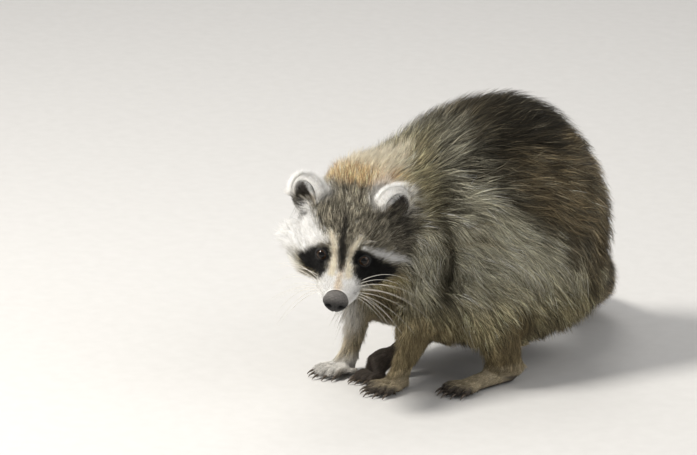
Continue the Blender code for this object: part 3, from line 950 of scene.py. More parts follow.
# strokes of the brush on the face: stations, each a point and the stroke's radius
strokes = {
    "rightBrow": [(-2.0, 1.5, 0.65), (-3.9, 1.7, 1.7), (-5.9, 1.0, 1.6), (-8.0, 0.5, 1.5)],
    "rightTemple": [(-4.9, 4.3, 0.6), (-4.6, 3.0, 1.25), (-4.3, 1.8, 1.9)],
    "rightSide": [(-4.6, 2.6, 1.2), (-6.6, 2.2, 1.2)],
    "leftBrow": [
        (1.9, 1.1, 0.16), (2.95, 0.86, 0.26), (3.95, 0.68, 0.36), (4.9, 0.52, 0.36), (6.5, 0.33, 0.18),
    ],
    "lowerCheek": [(-2.9, -2.9, 0.3), (-4.3, -2.2, 0.4), (-5.4, -1.1, 0.6), (-6.4, -0.6, 0.7)],
    "throat": [(0, 2.6, -4.3, 1.7), (0, -0.5, -5.2, 2.6), (0, -3.5, -6.0, 2.8)],
    "muzzle": [(0, 4.6, -2.6, 1.7), (0, 2.6, -2.4, 2.3), (0, 1.6, -2.6, 2.0)],
    "besideNose": [
        (1.55, 2.15, 0.18), (1.03, 1.25, 0.34), (0.8, 0.1, 0.4), (0.8, -1.0, 0.38), (0.85, -1.8, 0.35),
    ],
    "bridge": [(0, -1.0, 0.25), (0, -3.2, 0.32)],
    "stripe": [
        (-0.35, 4.0, 0.2), (-0.25, 2.2, 0.3), (-0.15, 0.86, 0.4), (-0.04, -0.27, 0.36), (0, -1.3, 0.22),
    ],
    # painted shadow: a dark patch behind and below each ear
    "shadowBehindEar": [(5.4, 4.6, 0.5), (5.9, 3.4, 0.45)],
    "besideBrow": [(5.6, 2.6, 0.3), (6.3, 1.4, 0.25)],
}


def patchDistance(points, corners):
    corners = np.array(corners, float)      # below 0 inside the patch
    best = np.full(len(points), 1e9)
    inside = np.zeros(len(points), bool)
    for a, b in zip(corners, np.roll(corners, -1, 0)):
        along = b - a
        share = np.clip((points - a) @ along / (along @ along), 0, 1)
        best = np.minimum(best, np.linalg.norm(points - a - share[:, None] * along, axis=1))
        crosses = (a[1] > points[:, 1]) != (b[1] > points[:, 1])
        rise = np.where(crosses, (points[:, 1] - a[1]) / np.where(b[1] == a[1], 1, b[1] - a[1]), 0)
        inside ^= crosses & (points[:, 0] < a[0] + rise * (b[0] - a[0]))
    return np.where(inside, -best, best)


def headTones(points, normals):
    head = inHead(points)
    side, front, up = head.T
    wide, level = np.abs(side), faceLevel(head)
    ragged = 0.10 * cloud(points, 0.006, 3) + 0.08 * cloud(points, 0.0025, 5)
    face, plain = np.stack([wide, level], 1), np.stack([side, level], 1)
    colours, paint = coatOf(points, "crown")

    def stroke(toneName, space, name, ragging, softness, share=1.0):
        paint(toneName, edgeOf(strokeDistance(space, strokes[name]) + ragging * ragged, softness) * share)

    paint("cheek", ease(-level, 0.2, 2.2) * ease(wide, 2.0, 4.2))
    paint("ruff", ease(-front, 6.0, 8.0) * ease(side, 3.0, 5.0))
    crownTop = level + 2.5 * ragged - 1.6 * ease(wide, 2.6, 4.2)
    paint("nape", ease(crownTop, 7.0, 7.9) * ease(up, 0.5, 2.0))
    # painted sunlight: the top of the crown is painted cream
    paint("napeTop", ease(level, 9.0, 10.2) * ease(up, 0.5, 2.0) * 0.85)
    right = ("rightBrow", "rightTemple", "rightSide")
    brow, temple, beside = (strokeDistance(plain, strokes[name]) for name in right)
    rightBrow = np.minimum(brow + 0.35, np.minimum(temple, beside))
    paint("white", edgeOf(rightBrow + 2.2 * ragged, 0.5))
    stroke("white", plain, "leftBrow", 1.2, 0.2)
    stroke("white", plain, "lowerCheek", 1.0, 0.5, 0.8)
    stroke("white", head, "throat", 2.0, 0.8, 0.9)
    stroke("white", head, "muzzle", 1.0, 0.35)
    stroke("cream", face, "besideNose", 0.6, 0.22)
    mask = np.where(side > 0, patchDistance(face, maskEdges["left"]), patchDistance(face, maskEdges["right"]))
    paint("mask", edgeOf(mask + 1.3 * ragged, 0.16) * ease(front, -6.0, -4.2))
    stroke("bridge", face, "bridge", 0.7, 0.35, 0.7)
    stroke("stripe", plain, "stripe", 1.2, 0.24, ease(level, -2.0, -1.2))
    peppered = ease(cloud(points, 0.009, 6) + 0.5 * cloud(points, 0.02, 8), 0.1, 1.2)
    peppered = peppered * ease(level, 2.0, 4.0) * ease(-level, -7.4, -6.6)
    paint("stripe", peppered * 0.65)
    # painted shadow behind and below the ears
    stroke("stripe", face, "shadowBehindEar", 1.0, 0.4, 0.8)
    stroke("stripe", plain, "besideBrow", 2.0, 0.4, 0.6)
    lips = 1 - ease(mouthDistance(points), 0.5 * mm, 1.3 * mm)
    paint("lip", np.maximum(lips, ease(-noseOffset(points), -1.04, -0.98)))
    return colours


def earTones(points, normals, side):
    across, _, up = inEar(points, side).T
    outward = across * signOf[side]
    ragged = 0.10 * cloud(points, 0.003, 7)
    facesOut = (normals @ headAxes.T)[:, 1]
    hole = earPlan["hole"]
    within = np.hypot((outward - hole[0]) / hole[2], (up - hole[1]) / hole[3]) + ragged
    rim = np.hypot(outward / 1.83, (up - 1.1) / 2.02) + ragged
    colours, paint = coatOf(points, "earBack")
    paint("white", ease(rim, 0.55, 0.70))
    front = ease(facesOut, -0.45, -0.15)
    inner = ease(-within, -1.12, -0.9)
    paint("white", front * (1 - inner))
    paint("earInside", front * inner * (1 - 0.35 * ease(up, 1.2, 2.4)))
    paint("mask", front * inner * ease(-up, -1.3, -0.5) * 0.7)
    pink = front * np.exp(-((outward + 0.75) / 0.35) ** 2) * ease(-up, -1.7, -0.8)
    paint("bridge", pink * 0.5)
    return colours


def legTones(points, normals):
    x, y, z = points.T
    patch = cloud(points, 0.03, 21)
    colours, paint = coatOf(points, "leg")
    paint("legDark", 0.12 + 0.2 * patch)
    # painted shade, partly the legs' own darker tone: the hind legs darker, more so up under the body
    behind = ease(y, -0.075, -0.05)
    paint("legDark", behind * (0.5 + 0.4 * ease(z, 0.03, 0.07)))
    # painted sunlight: the right fore leg is painted cream, more where it faces the light
    rightFore = ease(-x, -0.03, -0.015) * ease(-y, 0.05, 0.07)
    paintedSunlight = ease(-normals[:, 0] - normals[:, 1], 0.2, 1.0)
    paint("cream", rightFore * (0.25 + 0.5 * paintedSunlight))
    paint("white", 0.8 * chestShare(points))
    return colours


def footTones(points, normals):
    x, y, z = points.T
    paintedSunlight = 1 - ease(x, 0.012, 0.03)      # painted sunlight: the right fore foot is painted palest, the other feet darker as painted shade
    colours, paint = coatOf(points, "foot")
    paint("white", 0.75 * paintedSunlight)
    paint("leg", (1 - paintedSunlight) * 0.75)
    paint("toe", (1 - 0.75 * paintedSunlight) * toeShare(points))
    rightHind = ease(-np.abs(x - 0.039), -0.024, -0.016) * ease(y, -0.17, -0.15)
    paint("toe", rightHind * ease(-np.abs(y + 0.10), -0.06, -0.05))
    paint("sole", ease(-normals[:, 2], 0.45, 0.8) + ease(-z, -0.004, -0.0015))
    return colours


def tailTones(points, normals):
    reach = tailReach(points)
    ring = np.sin(reach / tailPlan["ring"] * math.tau)
    colours, paint = coatOf(points, "tailPale")
    paint("tailRing", ease(ring + 0.25 * cloud(points, 0.02, 31), -0.1, 0.25))
    paint("tailRing", ease(reach, *tailPlan["tip"]))
    return colours


tailPlan = {      # its line on the floor, the rings' spacing, the dark tip
    "line": ((5.1, 11.7), (4.3, 15.3), (2.1, 18.5), (-1.5, 20.7), (-5.9, 21.5), (-9.9, 20.9), (-13.1, 19.1),
             (-15.0, 17.4)),
    "ring": 0.043, "tip": (0.245, 0.262),
}


def tailReach(points):
    best = np.full(len(points), 1e9)
    reach = np.zeros(len(points))
    gone = 0.0
    line = np.array(tailPlan["line"]) * cm
    for a, b in zip(line[:-1], line[1:]):
        along = b - a
        share = np.clip((points[:, :2] - a) @ along / (along @ along), 0, 1)
        off = np.linalg.norm(points[:, :2] - a - share[:, None] * along, axis=1)
        reach = np.where(off < best, gone + share * np.linalg.norm(along), reach)
        best = np.minimum(best, off)
        gone += np.linalg.norm(along)
    return reach


def markings(points, normals, shares):
    total = np.maximum(shares.sum(1), 1e-6)
    colours = np.zeros((len(points), 3))
    for starts, rule in (
        (("trunk", "thigh", "upper_arm"), bodyTones), (("neck",), neckTones),
        (("head", "eye_", "nose"), headTones), (("forearm", "shank"), legTones),
        (("fore_foot", "hind_foot"), footTones), (("tail",), tailTones),
    ):
        colours += rule(points, normals) * (shareOf(shares, *starts) / total)[:, None]
    for side in signOf:
        colours += earTones(points, normals, side) * (shareOf(shares, f"ear_{side}") / total)[:, None]
    return colours


flowPlan = {      # which way the hair lies: to the left, back and up
    "tail_root": (-0.15, 0.8, -0.5), "tail_middle": (-0.75, 0.6, -0.25), "tail_tip": (-0.93, -0.35, -0.15),
    "upper_arm": (0, 0.42, -0.9), "forearm": (0, 0.12, -1), "thigh": (0, 0.5, -0.8),
    "shank": (0, 0.1, -1), "fore_foot": (0, -0.9, -0.35), "hind_foot": (0, -0.9, -0.35),
}


def laidFlat(vectors, normals):
    return unit(vectors - normals * np.sum(vectors * normals, 1, keepdims=True))


def coatFlow(points, normals, shares):
    head = inHead(points)
    fromNose = unit(head - np.array((0, 6.2, -3.4))) @ headAxes
    fromCheek = unit(head - np.array((0, -1.5, -0.5))) @ headAxes
    _, _, cheek = faceShare(head)
    outOfCheek = np.stack([np.sign(head[:, 0]), np.full(len(head), -0.45), np.full(len(head), 0.15)], 1)
    fromNose = fromNose + (unit(outOfCheek) @ headAxes - fromNose) * (0.8 * cheek)[:, None]
    flow = fromNose * shareOf(shares, "head", "eye_", "nose")[:, None]
    fall = 0.32 + 0.62 * ease(-points[:, 2], -0.235, -0.10)
    trunkWay = np.stack([np.zeros(len(points)), 1.15 - 0.75 * fall, -fall], 1)
    flow = flow + unit(trunkWay) * shareOf(shares, "trunk")[:, None]
    neckWay = unit(0.9 * fromCheek + np.array((-0.1, 0.55, -0.45)))
    flow = flow + neckWay * shareOf(shares, "neck")[:, None]
    for start, way in flowPlan.items():
        flow = flow + np.array(way) * shareOf(shares, start)[:, None]
    for side in signOf:
        across, _, up = inEar(points, side).T
        fan = np.outer(across * 0.42, headSide) + np.outer(0.35 + 0.45 * (up - 0.6), headUp)
        flow = flow + unit(fan + 0.08 * headFront) * shareOf(shares, f"ear_{side}")[:, None]
    return laidFlat(flow, normals)


skinFlow = coatFlow(skinPoints, skinNormals, skinShares)
for _ in range(4):
    skinFlow = laidFlat(evened(skinFlow, skinEdges, 5), skinNormals)
skinColours = markings(skinPoints, skinNormals, skinShares)
print("markings and the lie of the coat are set")


def colourLayer(mesh, colours):
    layer = mesh.attributes.new("coatTone", "FLOAT_COLOR", "POINT")
    layer.data.foreach_set("color", np.c_[colours, np.ones(len(colours))].astype(np.float32).ravel())


def skinMaterial():
    material = newMaterial("furredSkin", 0.7)
    grain = addGrain(material, "ShaderNodeTexNoise", "Fac", Scale=900.0, Detail=3.0)
    ownTones(material, grain, "MULTIPLY", 0.6)
    addBump(material, grain, 0.5, 0.6 * mm)
    return material


skinData.vertices.foreach_set("co", skinPoints.astype(np.float32).ravel())
skinData.update()
skinData.shade_smooth()
colourLayer(skinData, skinColours)
skin = addObject("skin", skinData)
skin.data.materials.append(skinMaterial())
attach(skin, "root")
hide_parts(*fleshNodes)
print("skin is in place")


def unwrapSkin():
    bpy.context.view_layer.objects.active = skin
    skin.select_set(True)
    bpy.ops.object.mode_set(mode="EDIT")
    bpy.ops.mesh.select_all(action="SELECT")
    bpy.ops.uv.smart_project(angle_limit=math.radians(66), island_margin=0.003)
    bpy.ops.object.mode_set(mode="OBJECT")
    skin.select_set(False)
    layer = skinData.uv_layers.active
    places = np.zeros(len(skinData.loops) * 2, np.float32)
    layer.data.foreach_get("uv", places)
    skinData.calc_loop_triangles()
    loops = np.zeros(len(skinData.loop_triangles) * 3, np.int32)
    skinData.loop_triangles.foreach_get("loops", loops)
    return places.reshape(-1, 2)[loops].reshape(-1, 3, 2)


skinMap = unwrapSkin()
print("skin is unwrapped")

hairPlan = {
    "locks": 13, "gather": 0.5, "gatherFace": 0.22, "stray": 0.09,      # hairs to a lock, and how they pull
    "sway": 17.0, "swayScale": 0.05, "scatter": 10.0, "sunk": 0.6 * mm,
    "longest": 36 * mm, "seen": 0.55, "tuftPatch": 0.003, "pieceLimit": 190000,
}

facesOut = (skinNormals @ headAxes.T)[:, 1]      # 1 where the skin looks the way that the face does
chestHair = chestShare(skinPoints) * shareOf(skinShares, "trunk", "upper_arm", "neck", "forearm")


def hairFields():
    head = inHead(skinPoints)
    onHead = shareOf(skinShares, "head")
    _, muzzle, cheek = faceShare(head)
    length = coatField(skinShares, "length") * (1 + 0.35 * chestHair)
    length = length + onHead * (headField(head, "length") - coatPlan["head"]["length"])
    beforeKnee = shareOf(skinShares, "trunk") * ease(-skinPoints[:, 2], -0.075, -0.062)
    length = length * (1 - 0.55 * beforeKnee)
    width = coatField(skinShares, "width") + onHead * 0.06 * cheek
    hairs = coatField(skinShares, "hairs") * (1 + 0.6 * chestHair) * (1 + onHead * 0.25 * muzzle)
    for side in signOf:      # bare on the lids, short around them
        level, distance, _ = lidLevel(side, skinPoints)
        hairs = hairs * (1 - (distance < 2 * eyePlan["radius"]) * (1 - ease(level, 1.25, 1.7)))
        length = length * (1 - 0.45 * (distance < 2.6 * eyePlan["radius"]) * (1 - ease(level, 2.0, 5.0)))
    hairs = hairs * ease(noseOffset(skinPoints), 1.02, 1.12)
    hairs = hairs * (0.15 + 0.85 * ease(mouthDistance(skinPoints), 0.3 * mm, 1.0 * mm))
    onFoot = shareOf(skinShares, "fore_foot", "hind_foot")
    hairs = hairs * (1 - onFoot * ease(-skinNormals[:, 2], 0.3, 0.65))
    hairs = hairs * ease(skinPoints[:, 2], 2 * mm, 4 * mm)
    for side in signOf:      # thinner in the ears
        inside = shareOf(skinShares, f"ear_{side}") * ease(facesOut, 0.1, 0.5)
        hairs = hairs * (1 - 0.55 * inside)
        length = length * (1 - 0.15 * inside)
    return length * mm, width * mm, np.maximum(hairs, 0) / cm ** 2


def hairLift():      # 0 lies flat, 1 stands straight out
    _, _, cheek = faceShare(inHead(skinPoints))
    lift = 0.5 * cheek * shareOf(skinShares, "head") + 0.42 * shareOf(skinShares, "neck")
    for side in signOf:
        lift = lift + 0.6 * shareOf(skinShares, f"ear_{side}") * ease(-np.abs(facesOut), -1.0, -0.3)
    under = ease(-skinNormals[:, 2], -0.1, 0.7) * ease(-skinPoints[:, 2], -0.14, -0.09)
    lift = lift + 0.65 * chestHair
    return np.clip(lift + 0.45 * under * shareOf(skinShares, "trunk", "upper_arm", "thigh", "neck"), 0, 0.8)


contrastPlan = {      # how far dark and pale hairs stand apart
    ("trunk", "thigh", "upper_arm"): 0.9, ("neck",): 0.85, ("head", "eye_", "nose"): 1.1,
    ("forearm", "shank"): 0.6, ("fore_foot", "hind_foot"): 0.5, ("tail",): 0.6, ("ear",): 0.6,
}


def coatContrast(shares, colours):
    amount = sum(share * shareOf(shares, *starts) for starts, share in contrastPlan.items())
    pale = np.sqrt(np.clip(colours @ np.array((0.3, 0.6, 0.1)), 0, 1))
    return amount * np.clip(1 - ((pale - 0.47) / 0.42) ** 2, 0.16, 1)


def sowHairs():
    length, width, hairs = hairFields()
    corners = skinPoints[skinTriangles]
    sides = np.cross(corners[:, 1] - corners[:, 0], corners[:, 2] - corners[:, 0])
    area = 0.5 * np.linalg.norm(sides, axis=1)
    expected = area * hairs[skinTriangles].mean(1) * 1.0
    total = int(expected.sum())
    sums = np.cumsum(expected)
    draws = (np.arange(total) + dice.random(total)) / total * sums[-1]
    face = np.minimum(np.searchsorted(sums, draws), len(sums) - 1)
    u, v = dice.random(total), dice.random(total)
    flip = u + v > 1
    u, v = np.where(flip, 1 - u, u), np.where(flip, 1 - v, v)
    weights = np.stack([1 - u - v, u, v], 1)

    def carried(values):
        parts = values[skinTriangles[face]]
        return np.sum(parts * (weights if values.ndim == 1 else weights[:, :, None]), 1)

    normal = unit(carried(skinNormals))
    return {
        "root": carried(skinPoints), "normal": normal, "flow": laidFlat(carried(skinFlow), normal),
        "length": carried(length), "width": carried(width) * 1.0,
        "shares": carried(skinShares), "lift": carried(hairLift()),
        "place": np.sum(skinMap[face] * weights[:, :, None], 1),
    }


def turned(vectors, axes, degrees):
    a = np.radians(degrees)[:, None]
    return vectors * np.cos(a) + np.cross(axes, vectors) * np.sin(a)


freeOfOutline = ("fore_foot", "hind_foot", "ear")      # hair here follows the skin itself
faceNodes = ("head", "ear", "eye_", "nose")


def hairLines(sown):
    count = len(sown["root"])
    onFace = shareOf(sown["shares"], *faceNodes)
    sway = hairPlan["sway"] * cloud(sown["root"], hairPlan["swayScale"], 41)
    sway = sway + 0.6 * hairPlan["sway"] * cloud(sown["root"], hairPlan["swayScale"] / 3, 42)
    swing = sway * (1 - 0.6 * onFace) + dice.normal(0, hairPlan["scatter"], count)
    flow = turned(sown["flow"], sown["normal"], swing)
    length = sown["length"] * dice.uniform(0.72, 1.12, count)
    lift = sown["lift"]
    way = unit(flow * (1 - lift)[:, None] + sown["normal"] * lift[:, None])
    reach = sown["root"] + way * (0.92 * length)[:, None]
    target, facing, _ = nearestOn(outlineTree, reach)
    surface, _, _ = nearestOn(outlineTree, sown["root"])
    depth = np.linalg.norm(surface - sown["root"], axis=1)
    stand = dice.uniform(0.35, 1.0, count)
    stray = dice.random(count) < hairPlan["stray"]
    stand = np.where(stray, dice.uniform(1.0, 1.22, count), stand)
    tip = target - facing * (depth * (1 - stand))[:, None]
    full = tip - sown["root"]
    far = np.linalg.norm(full, axis=1)
    tip = sown["root"] + full * np.minimum(1, 1.1 * length / np.maximum(far, 1e-6))[:, None]
    loose = 0.45 * lift + 0.9 * np.maximum(lift - 0.5, 0)
    tip = tip + sown["normal"] * (loose * length * dice.uniform(0.2, 1.0, count))[:, None]
    rise = np.maximum(0.8 * depth * stand, 0.1 * length)
    bend = sown["root"] + sown["normal"] * rise[:, None] + flow * (0.3 * length)[:, None]
    sideways = np.cross(sown["normal"], flow) * (length * dice.normal(0, 0.07, count))[:, None]
    bend, tip = bend + sideways, tip - 0.6 * sideways
    free = shareOf(sown["shares"], *freeOfOutline)[:, None] > 0.5
    reach = sown["root"] + way * (0.95 * length)[:, None] + sown["normal"] * (0.12 * length)[:, None]
    tip = np.where(free, reach, tip)
    bend = np.where(free, sown["root"] + (way * 0.45 + sown["normal"] * 0.14) * length[:, None], bend)
    return {"bend": bend, "tip": tip, "stray": stray}


def gatherLocks(sown, lines):
    count = len(sown["root"])
    guides = dice.choice(count, max(1, count // hairPlan["locks"]), replace=False)
    tree = KDTree(len(guides))
    for k, guide in enumerate(guides):
        tree.insert(sown["root"][guide], k)
    tree.balance()
    chosen = guides[np.array([tree.find(point)[1] for point in sown["root"].tolist()])]
    onFace = shareOf(sown["shares"], *faceNodes, "fore_foot", "hind_foot")
    pull = hairPlan["gather"] + (hairPlan["gatherFace"] - hairPlan["gather"]) * np.clip(onFace, 0, 1)
    pull = pull * dice.uniform(0.6, 1.1, count) * ~lines["stray"]
    pull = pull * (np.sum(sown["normal"] * sown["normal"][chosen], 1) > 0.4)
    offset = sown["root"] - sown["root"][chosen]
    for part, apart, share in (("tip", 0.25, pull), ("bend", 0.8, 0.35 * pull)):
        gathered = lines[part][chosen] + apart * offset
        lines[part] = lines[part] + (gathered - lines[part]) * share[:, None]
    allowed = (1.2 + 3.5 * lines["stray"] + 9 * sown["lift"] + 26 * np.maximum(sown["lift"] - 0.5, 0)) * mm
    held = shareOf(sown["shares"], *freeOfOutline) < 0.5
    for part in ("bend", "tip"):
        near, facing, _ = nearestOn(outlineTree, lines[part])
        above = np.sum((lines[part] - near) * facing, 1)
        lines[part] = lines[part] - facing * (np.maximum(above - allowed, 0) * held)[:, None]
        lines[part][:, 2] = np.maximum(lines[part][:, 2], 0.8 * mm)
    return chosen


def hairTones(sown, lines, chosen):      # four layers from the root to the tip
    count = len(sown["root"])
    seen = sown["root"] + hairPlan["seen"] * (lines["tip"] - sown["root"])      # the part that shows
    base = markings(seen + dice.normal(0, 0.7 * mm, (count, 3)), sown["normal"], sown["shares"])
    contrast = coatContrast(sown["shares"], base)
    draw = dice.random(count)
    lockDraw = dice.random(count)[chosen]
    kind = np.where(draw < 0.34, -1.05, np.where(draw > 0.62, 0.62, 0.0)) + dice.normal(0, 0.12, count)
    kind = kind + 1.3 * (lockDraw - 0.5) + 0.3 * cloud(sown["root"], 0.006, 51)
    body = base * np.exp(contrast * kind)[:, None] * (1 + dice.normal(0, 0.04, (count, 1)))
    darkTip = dice.random(count) < 0.38
    tipFactor = np.where(darkTip, np.exp(-1.5 * contrast), np.exp(0.35 * contrast))
    factors = (1 - 0.5 * contrast, np.ones(count), np.exp(0.12 * contrast), tipFactor)
    return [np.clip(body * factor[:, None], 0.004, 0.93) for factor in factors]


def alongHair(root, bend, tip, share):
    return (1 - share) ** 2 * root + 2 * share * (1 - share) * bend + share ** 2 * tip


hairRings = {"guard": ((0.2, 1.0), (0.6, 0.8)), "short": ((0.36, 1.0),)}      # place on the hair, and width
ringCorners = ((-0.5, -0.18), (0.5, -0.18), (0.0, 0.3))


def hairMesh(chosen, sown, lines, layers, rings):
    normal, here = sown["normal"][chosen], sown["place"][chosen]
    root = sown["root"][chosen] - normal * hairPlan["sunk"]
    bend, tip = lines["bend"][chosen], lines["tip"][chosen]
    count, each, patch = len(chosen), 2 + 3 * len(rings), hairPlan["tuftPatch"]
    points, shades = np.zeros((2, count, each, 3))
    places = np.zeros((count, each, 2))
    for k, end, layer, along in ((0, root, layers[0], 0.0), (-1, tip, layers[3], 1.0)):
        points[:, k] = end
        shades[:, k] = layer[chosen]
        places[:, k] = here + np.array((0.5, along)) * patch
    for r, (share, swell) in enumerate(rings):
        middle = alongHair(root, bend, tip, share)
        ahead = unit(alongHair(root, bend, tip, min(share + 0.05, 1)) - middle)
        flat = unit(np.cross(ahead, normal))
        high = np.cross(flat, ahead)
        wide = (sown["width"][chosen] * swell)[:, None]
        for corner, (x, y) in enumerate(ringCorners):
            k = 1 + 3 * r + corner
            points[:, k] = middle + flat * wide * x + high * wide * y
            shades[:, k] = layers[1 + r][chosen]
            places[:, k] = here + np.array((0.5 + x, share)) * patch
    last, top = each - 1, each - 4
    faces = [(0, 2, 1), (0, 3, 2), (0, 1, 3)]
    for a in range(1, top, 3):
        faces += [(a + s, a + t, a + 3 + t, a + 3 + s) for s, t in ((0, 1), (1, 2), (2, 0))]
    faces += [(top + s, top + t, last) for s, t in ((0, 1), (1, 2), (2, 0))]
    loops = (np.arange(count)[:, None] * each + np.concatenate(faces)[None]).ravel()
    corners = np.tile([len(face) for face in faces], count)
    return points.reshape(-1, 3), loops, corners, shades.reshape(-1, 3), places.reshape(-1, 2)


def coatMaterial():
    material = newMaterial("guardHair", 0.5)
    shaderOf(material).inputs["Specular IOR Level"].default_value = 0.2
    drift = addGrain(material, "ShaderNodeTexNoise", "Fac", Scale=140.0, Detail=2.0)
    ownTones(material, spread(material, drift, To_Min=0.84, To_Max=1.14), "MULTIPLY", 1.0)
    return material


def addCoatPiece(name, slotName, stack, material):
    points, loops, corners, shades, places = (np.concatenate(rows) for rows in zip(*stack))
    first = len(stack[0][1])
    loops[first:] += len(stack[0][0])
    mesh = meshFromFlat(name, points, loops, corners)
    colourLayer(mesh, shades)
    layer = mesh.uv_layers.new(name="OFBake")
    layer.data.foreach_set("uv", np.clip(places[loops], 0, 1).astype(np.float32).ravel())
    piece = addObject(name, mesh)
    mesh.materials.append(material)
    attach(piece, "root")


coatPieces = [
    ("bodyCoat", "coat", ("trunk", "thigh", "upper_arm")), ("neckCoat", "coat", ("neck",)),
    ("headCoat", "face", ("head", "eye_", "nose")), ("earCoat", "ear", ("ear",)),
    ("legCoat", "coat", ("forearm", "shank")), ("footCoat", "foot", ("fore_foot", "hind_foot")),
    ("tailCoat", "tail", ("tail",)),
]


def growCoat():
    sown = sowHairs()
    print("hairs sown", len(sown["root"]))
    lines = hairLines(sown)
    layers = hairTones(sown, lines, gatherLocks(sown, lines))
    material = coatMaterial()
    group = np.stack([shareOf(sown["shares"], *starts) for _, _, starts in coatPieces], 1).argmax(1)
    guard = (sown["length"] >= hairPlan["longest"]) & lines["stray"]
    triangles = np.where(guard, 12, 6)
    for k, (name, slotName, _) in enumerate(coatPieces):
        members = np.flatnonzero(group == k)
        parts = int(np.ceil(triangles[members].sum() / hairPlan["pieceLimit"]))
        order = np.argsort(sown["root"][members] @ np.array((0.3, 1.0, 0.2)), kind="stable")
        for p, chosen in enumerate(np.array_split(members[order], parts)):
            label = name if parts == 1 else f"{name}{p + 1}"
            kinds = (("guard", chosen[guard[chosen]]), ("short", chosen[~guard[chosen]]))
            kinds = [(kind, hairs) for kind, hairs in kinds if len(hairs)]
            stack = [hairMesh(hairs, sown, lines, layers, hairRings[kind]) for kind, hairs in kinds]
            addCoatPiece(label, slotName, stack, material)
            print(label, len(chosen), "hairs", triangles[chosen].sum(), "triangles")
    print("coat triangles", triangles.sum())


growCoat()

ballPlan = {
    "pupil": 25.0, "iris": 43.0, "bulge": 0.55 * mm, "bulgeEnd": 44.0, "slack": 0.05 * mm,
    "gazeOut": 9.0, "gazeUp": 22.0,
    "irisDark": (20, 13, 8), "irisPale": (60, 42, 25), "white": (34, 26, 21), "segments": 72,
}


def addEye(side, material):
    across, up, out = eyeAxes(side, ballPlan["gazeOut"], ballPlan["gazeUp"])
    centre = eyeMiddles[side]

    def place(angle, around):
        a = math.radians(angle)
        bulge = max(0.0, math.cos(min(a / math.radians(ballPlan["bulgeEnd"]), 1) * math.pi / 2)) ** 1.4
        ray = out * math.cos(a) + (across * math.cos(around) + up * math.sin(around)) * math.sin(a)
        return centre + ray * (eyePlan["radius"] - ballPlan["slack"] + ballPlan["bulge"] * bulge)

    rings = np.concatenate([np.linspace(0, 60, 46), np.linspace(66, 180, 20)])
    points, faces = lathe(rings, ballPlan["segments"], place)
    ray = unit(points - centre)
    angle = np.degrees(np.arccos(np.clip(ray @ out, -1, 1)))
    around = np.arctan2(ray @ up, ray @ across)
    pupil, iris = ballPlan["pupil"], ballPlan["iris"]
    streak = 0.5 + 0.25 * np.sin(around * 23 + 2 * np.sin(around * 5)) + 0.25 * np.sin(around * 41 + 1.3)
    pale, dark = tone(*ballPlan["irisPale"]), tone(*ballPlan["irisDark"])
    light = 0.25 + 0.75 * streak * (1 - 0.6 * ease(angle, pupil, iris))
    colours = dark + (pale - dark) * np.clip(light, 0, 1)[:, None]
    colours = colours * (1 - 0.85 * ease(angle, iris - 4, iris))[:, None]
    outer = ease(angle, iris + 1, iris + 5)
    colours = colours + (tone(*ballPlan["white"]) - colours) * outer[:, None]
    colours = colours * (1 - 0.97 * (1 - ease(angle, pupil - 1.5, pupil + 1.0)))[:, None]
    mesh = meshFromArrays(f"{side}Eye", points, faces)
    colourLayer(mesh, colours)
    eye = addObject(f"{side}Eye", mesh)
    mesh.materials.append(material)
    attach(eye, "root")
    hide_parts(f"eye_{side}")


def wetEyeMaterial():
    material = newMaterial("wetEye", 0.07)
    shaderOf(material).inputs["Specular IOR Level"].default_value = 0.3
    fleck = addGrain(material, "ShaderNodeTexNoise", "Fac", Scale=1600.0, Detail=3.0)
    ownTones(material, fleck, "OVERLAY", 0.5)
    return material


eyeMaterial = wetEyeMaterial()
for side in signOf:
    addEye(side, eyeMaterial)
print("eyes are in")

nosePlan = {      # half sizes and places in centimetres
    "halves": (1.3, 0.9, 1.2), "low": 0.08, "segments": 96, "rings": 64,
    # the pale tone is painted light on the top of the nose; the dark tone is its own colour
    "dark": (13, 11, 10), "pale": (104, 100, 96),
    "nostril": (0.6, -0.22), "pit": 0.42, "slit": 0.25, "groove": 0.12, "edge": 0.05,
}


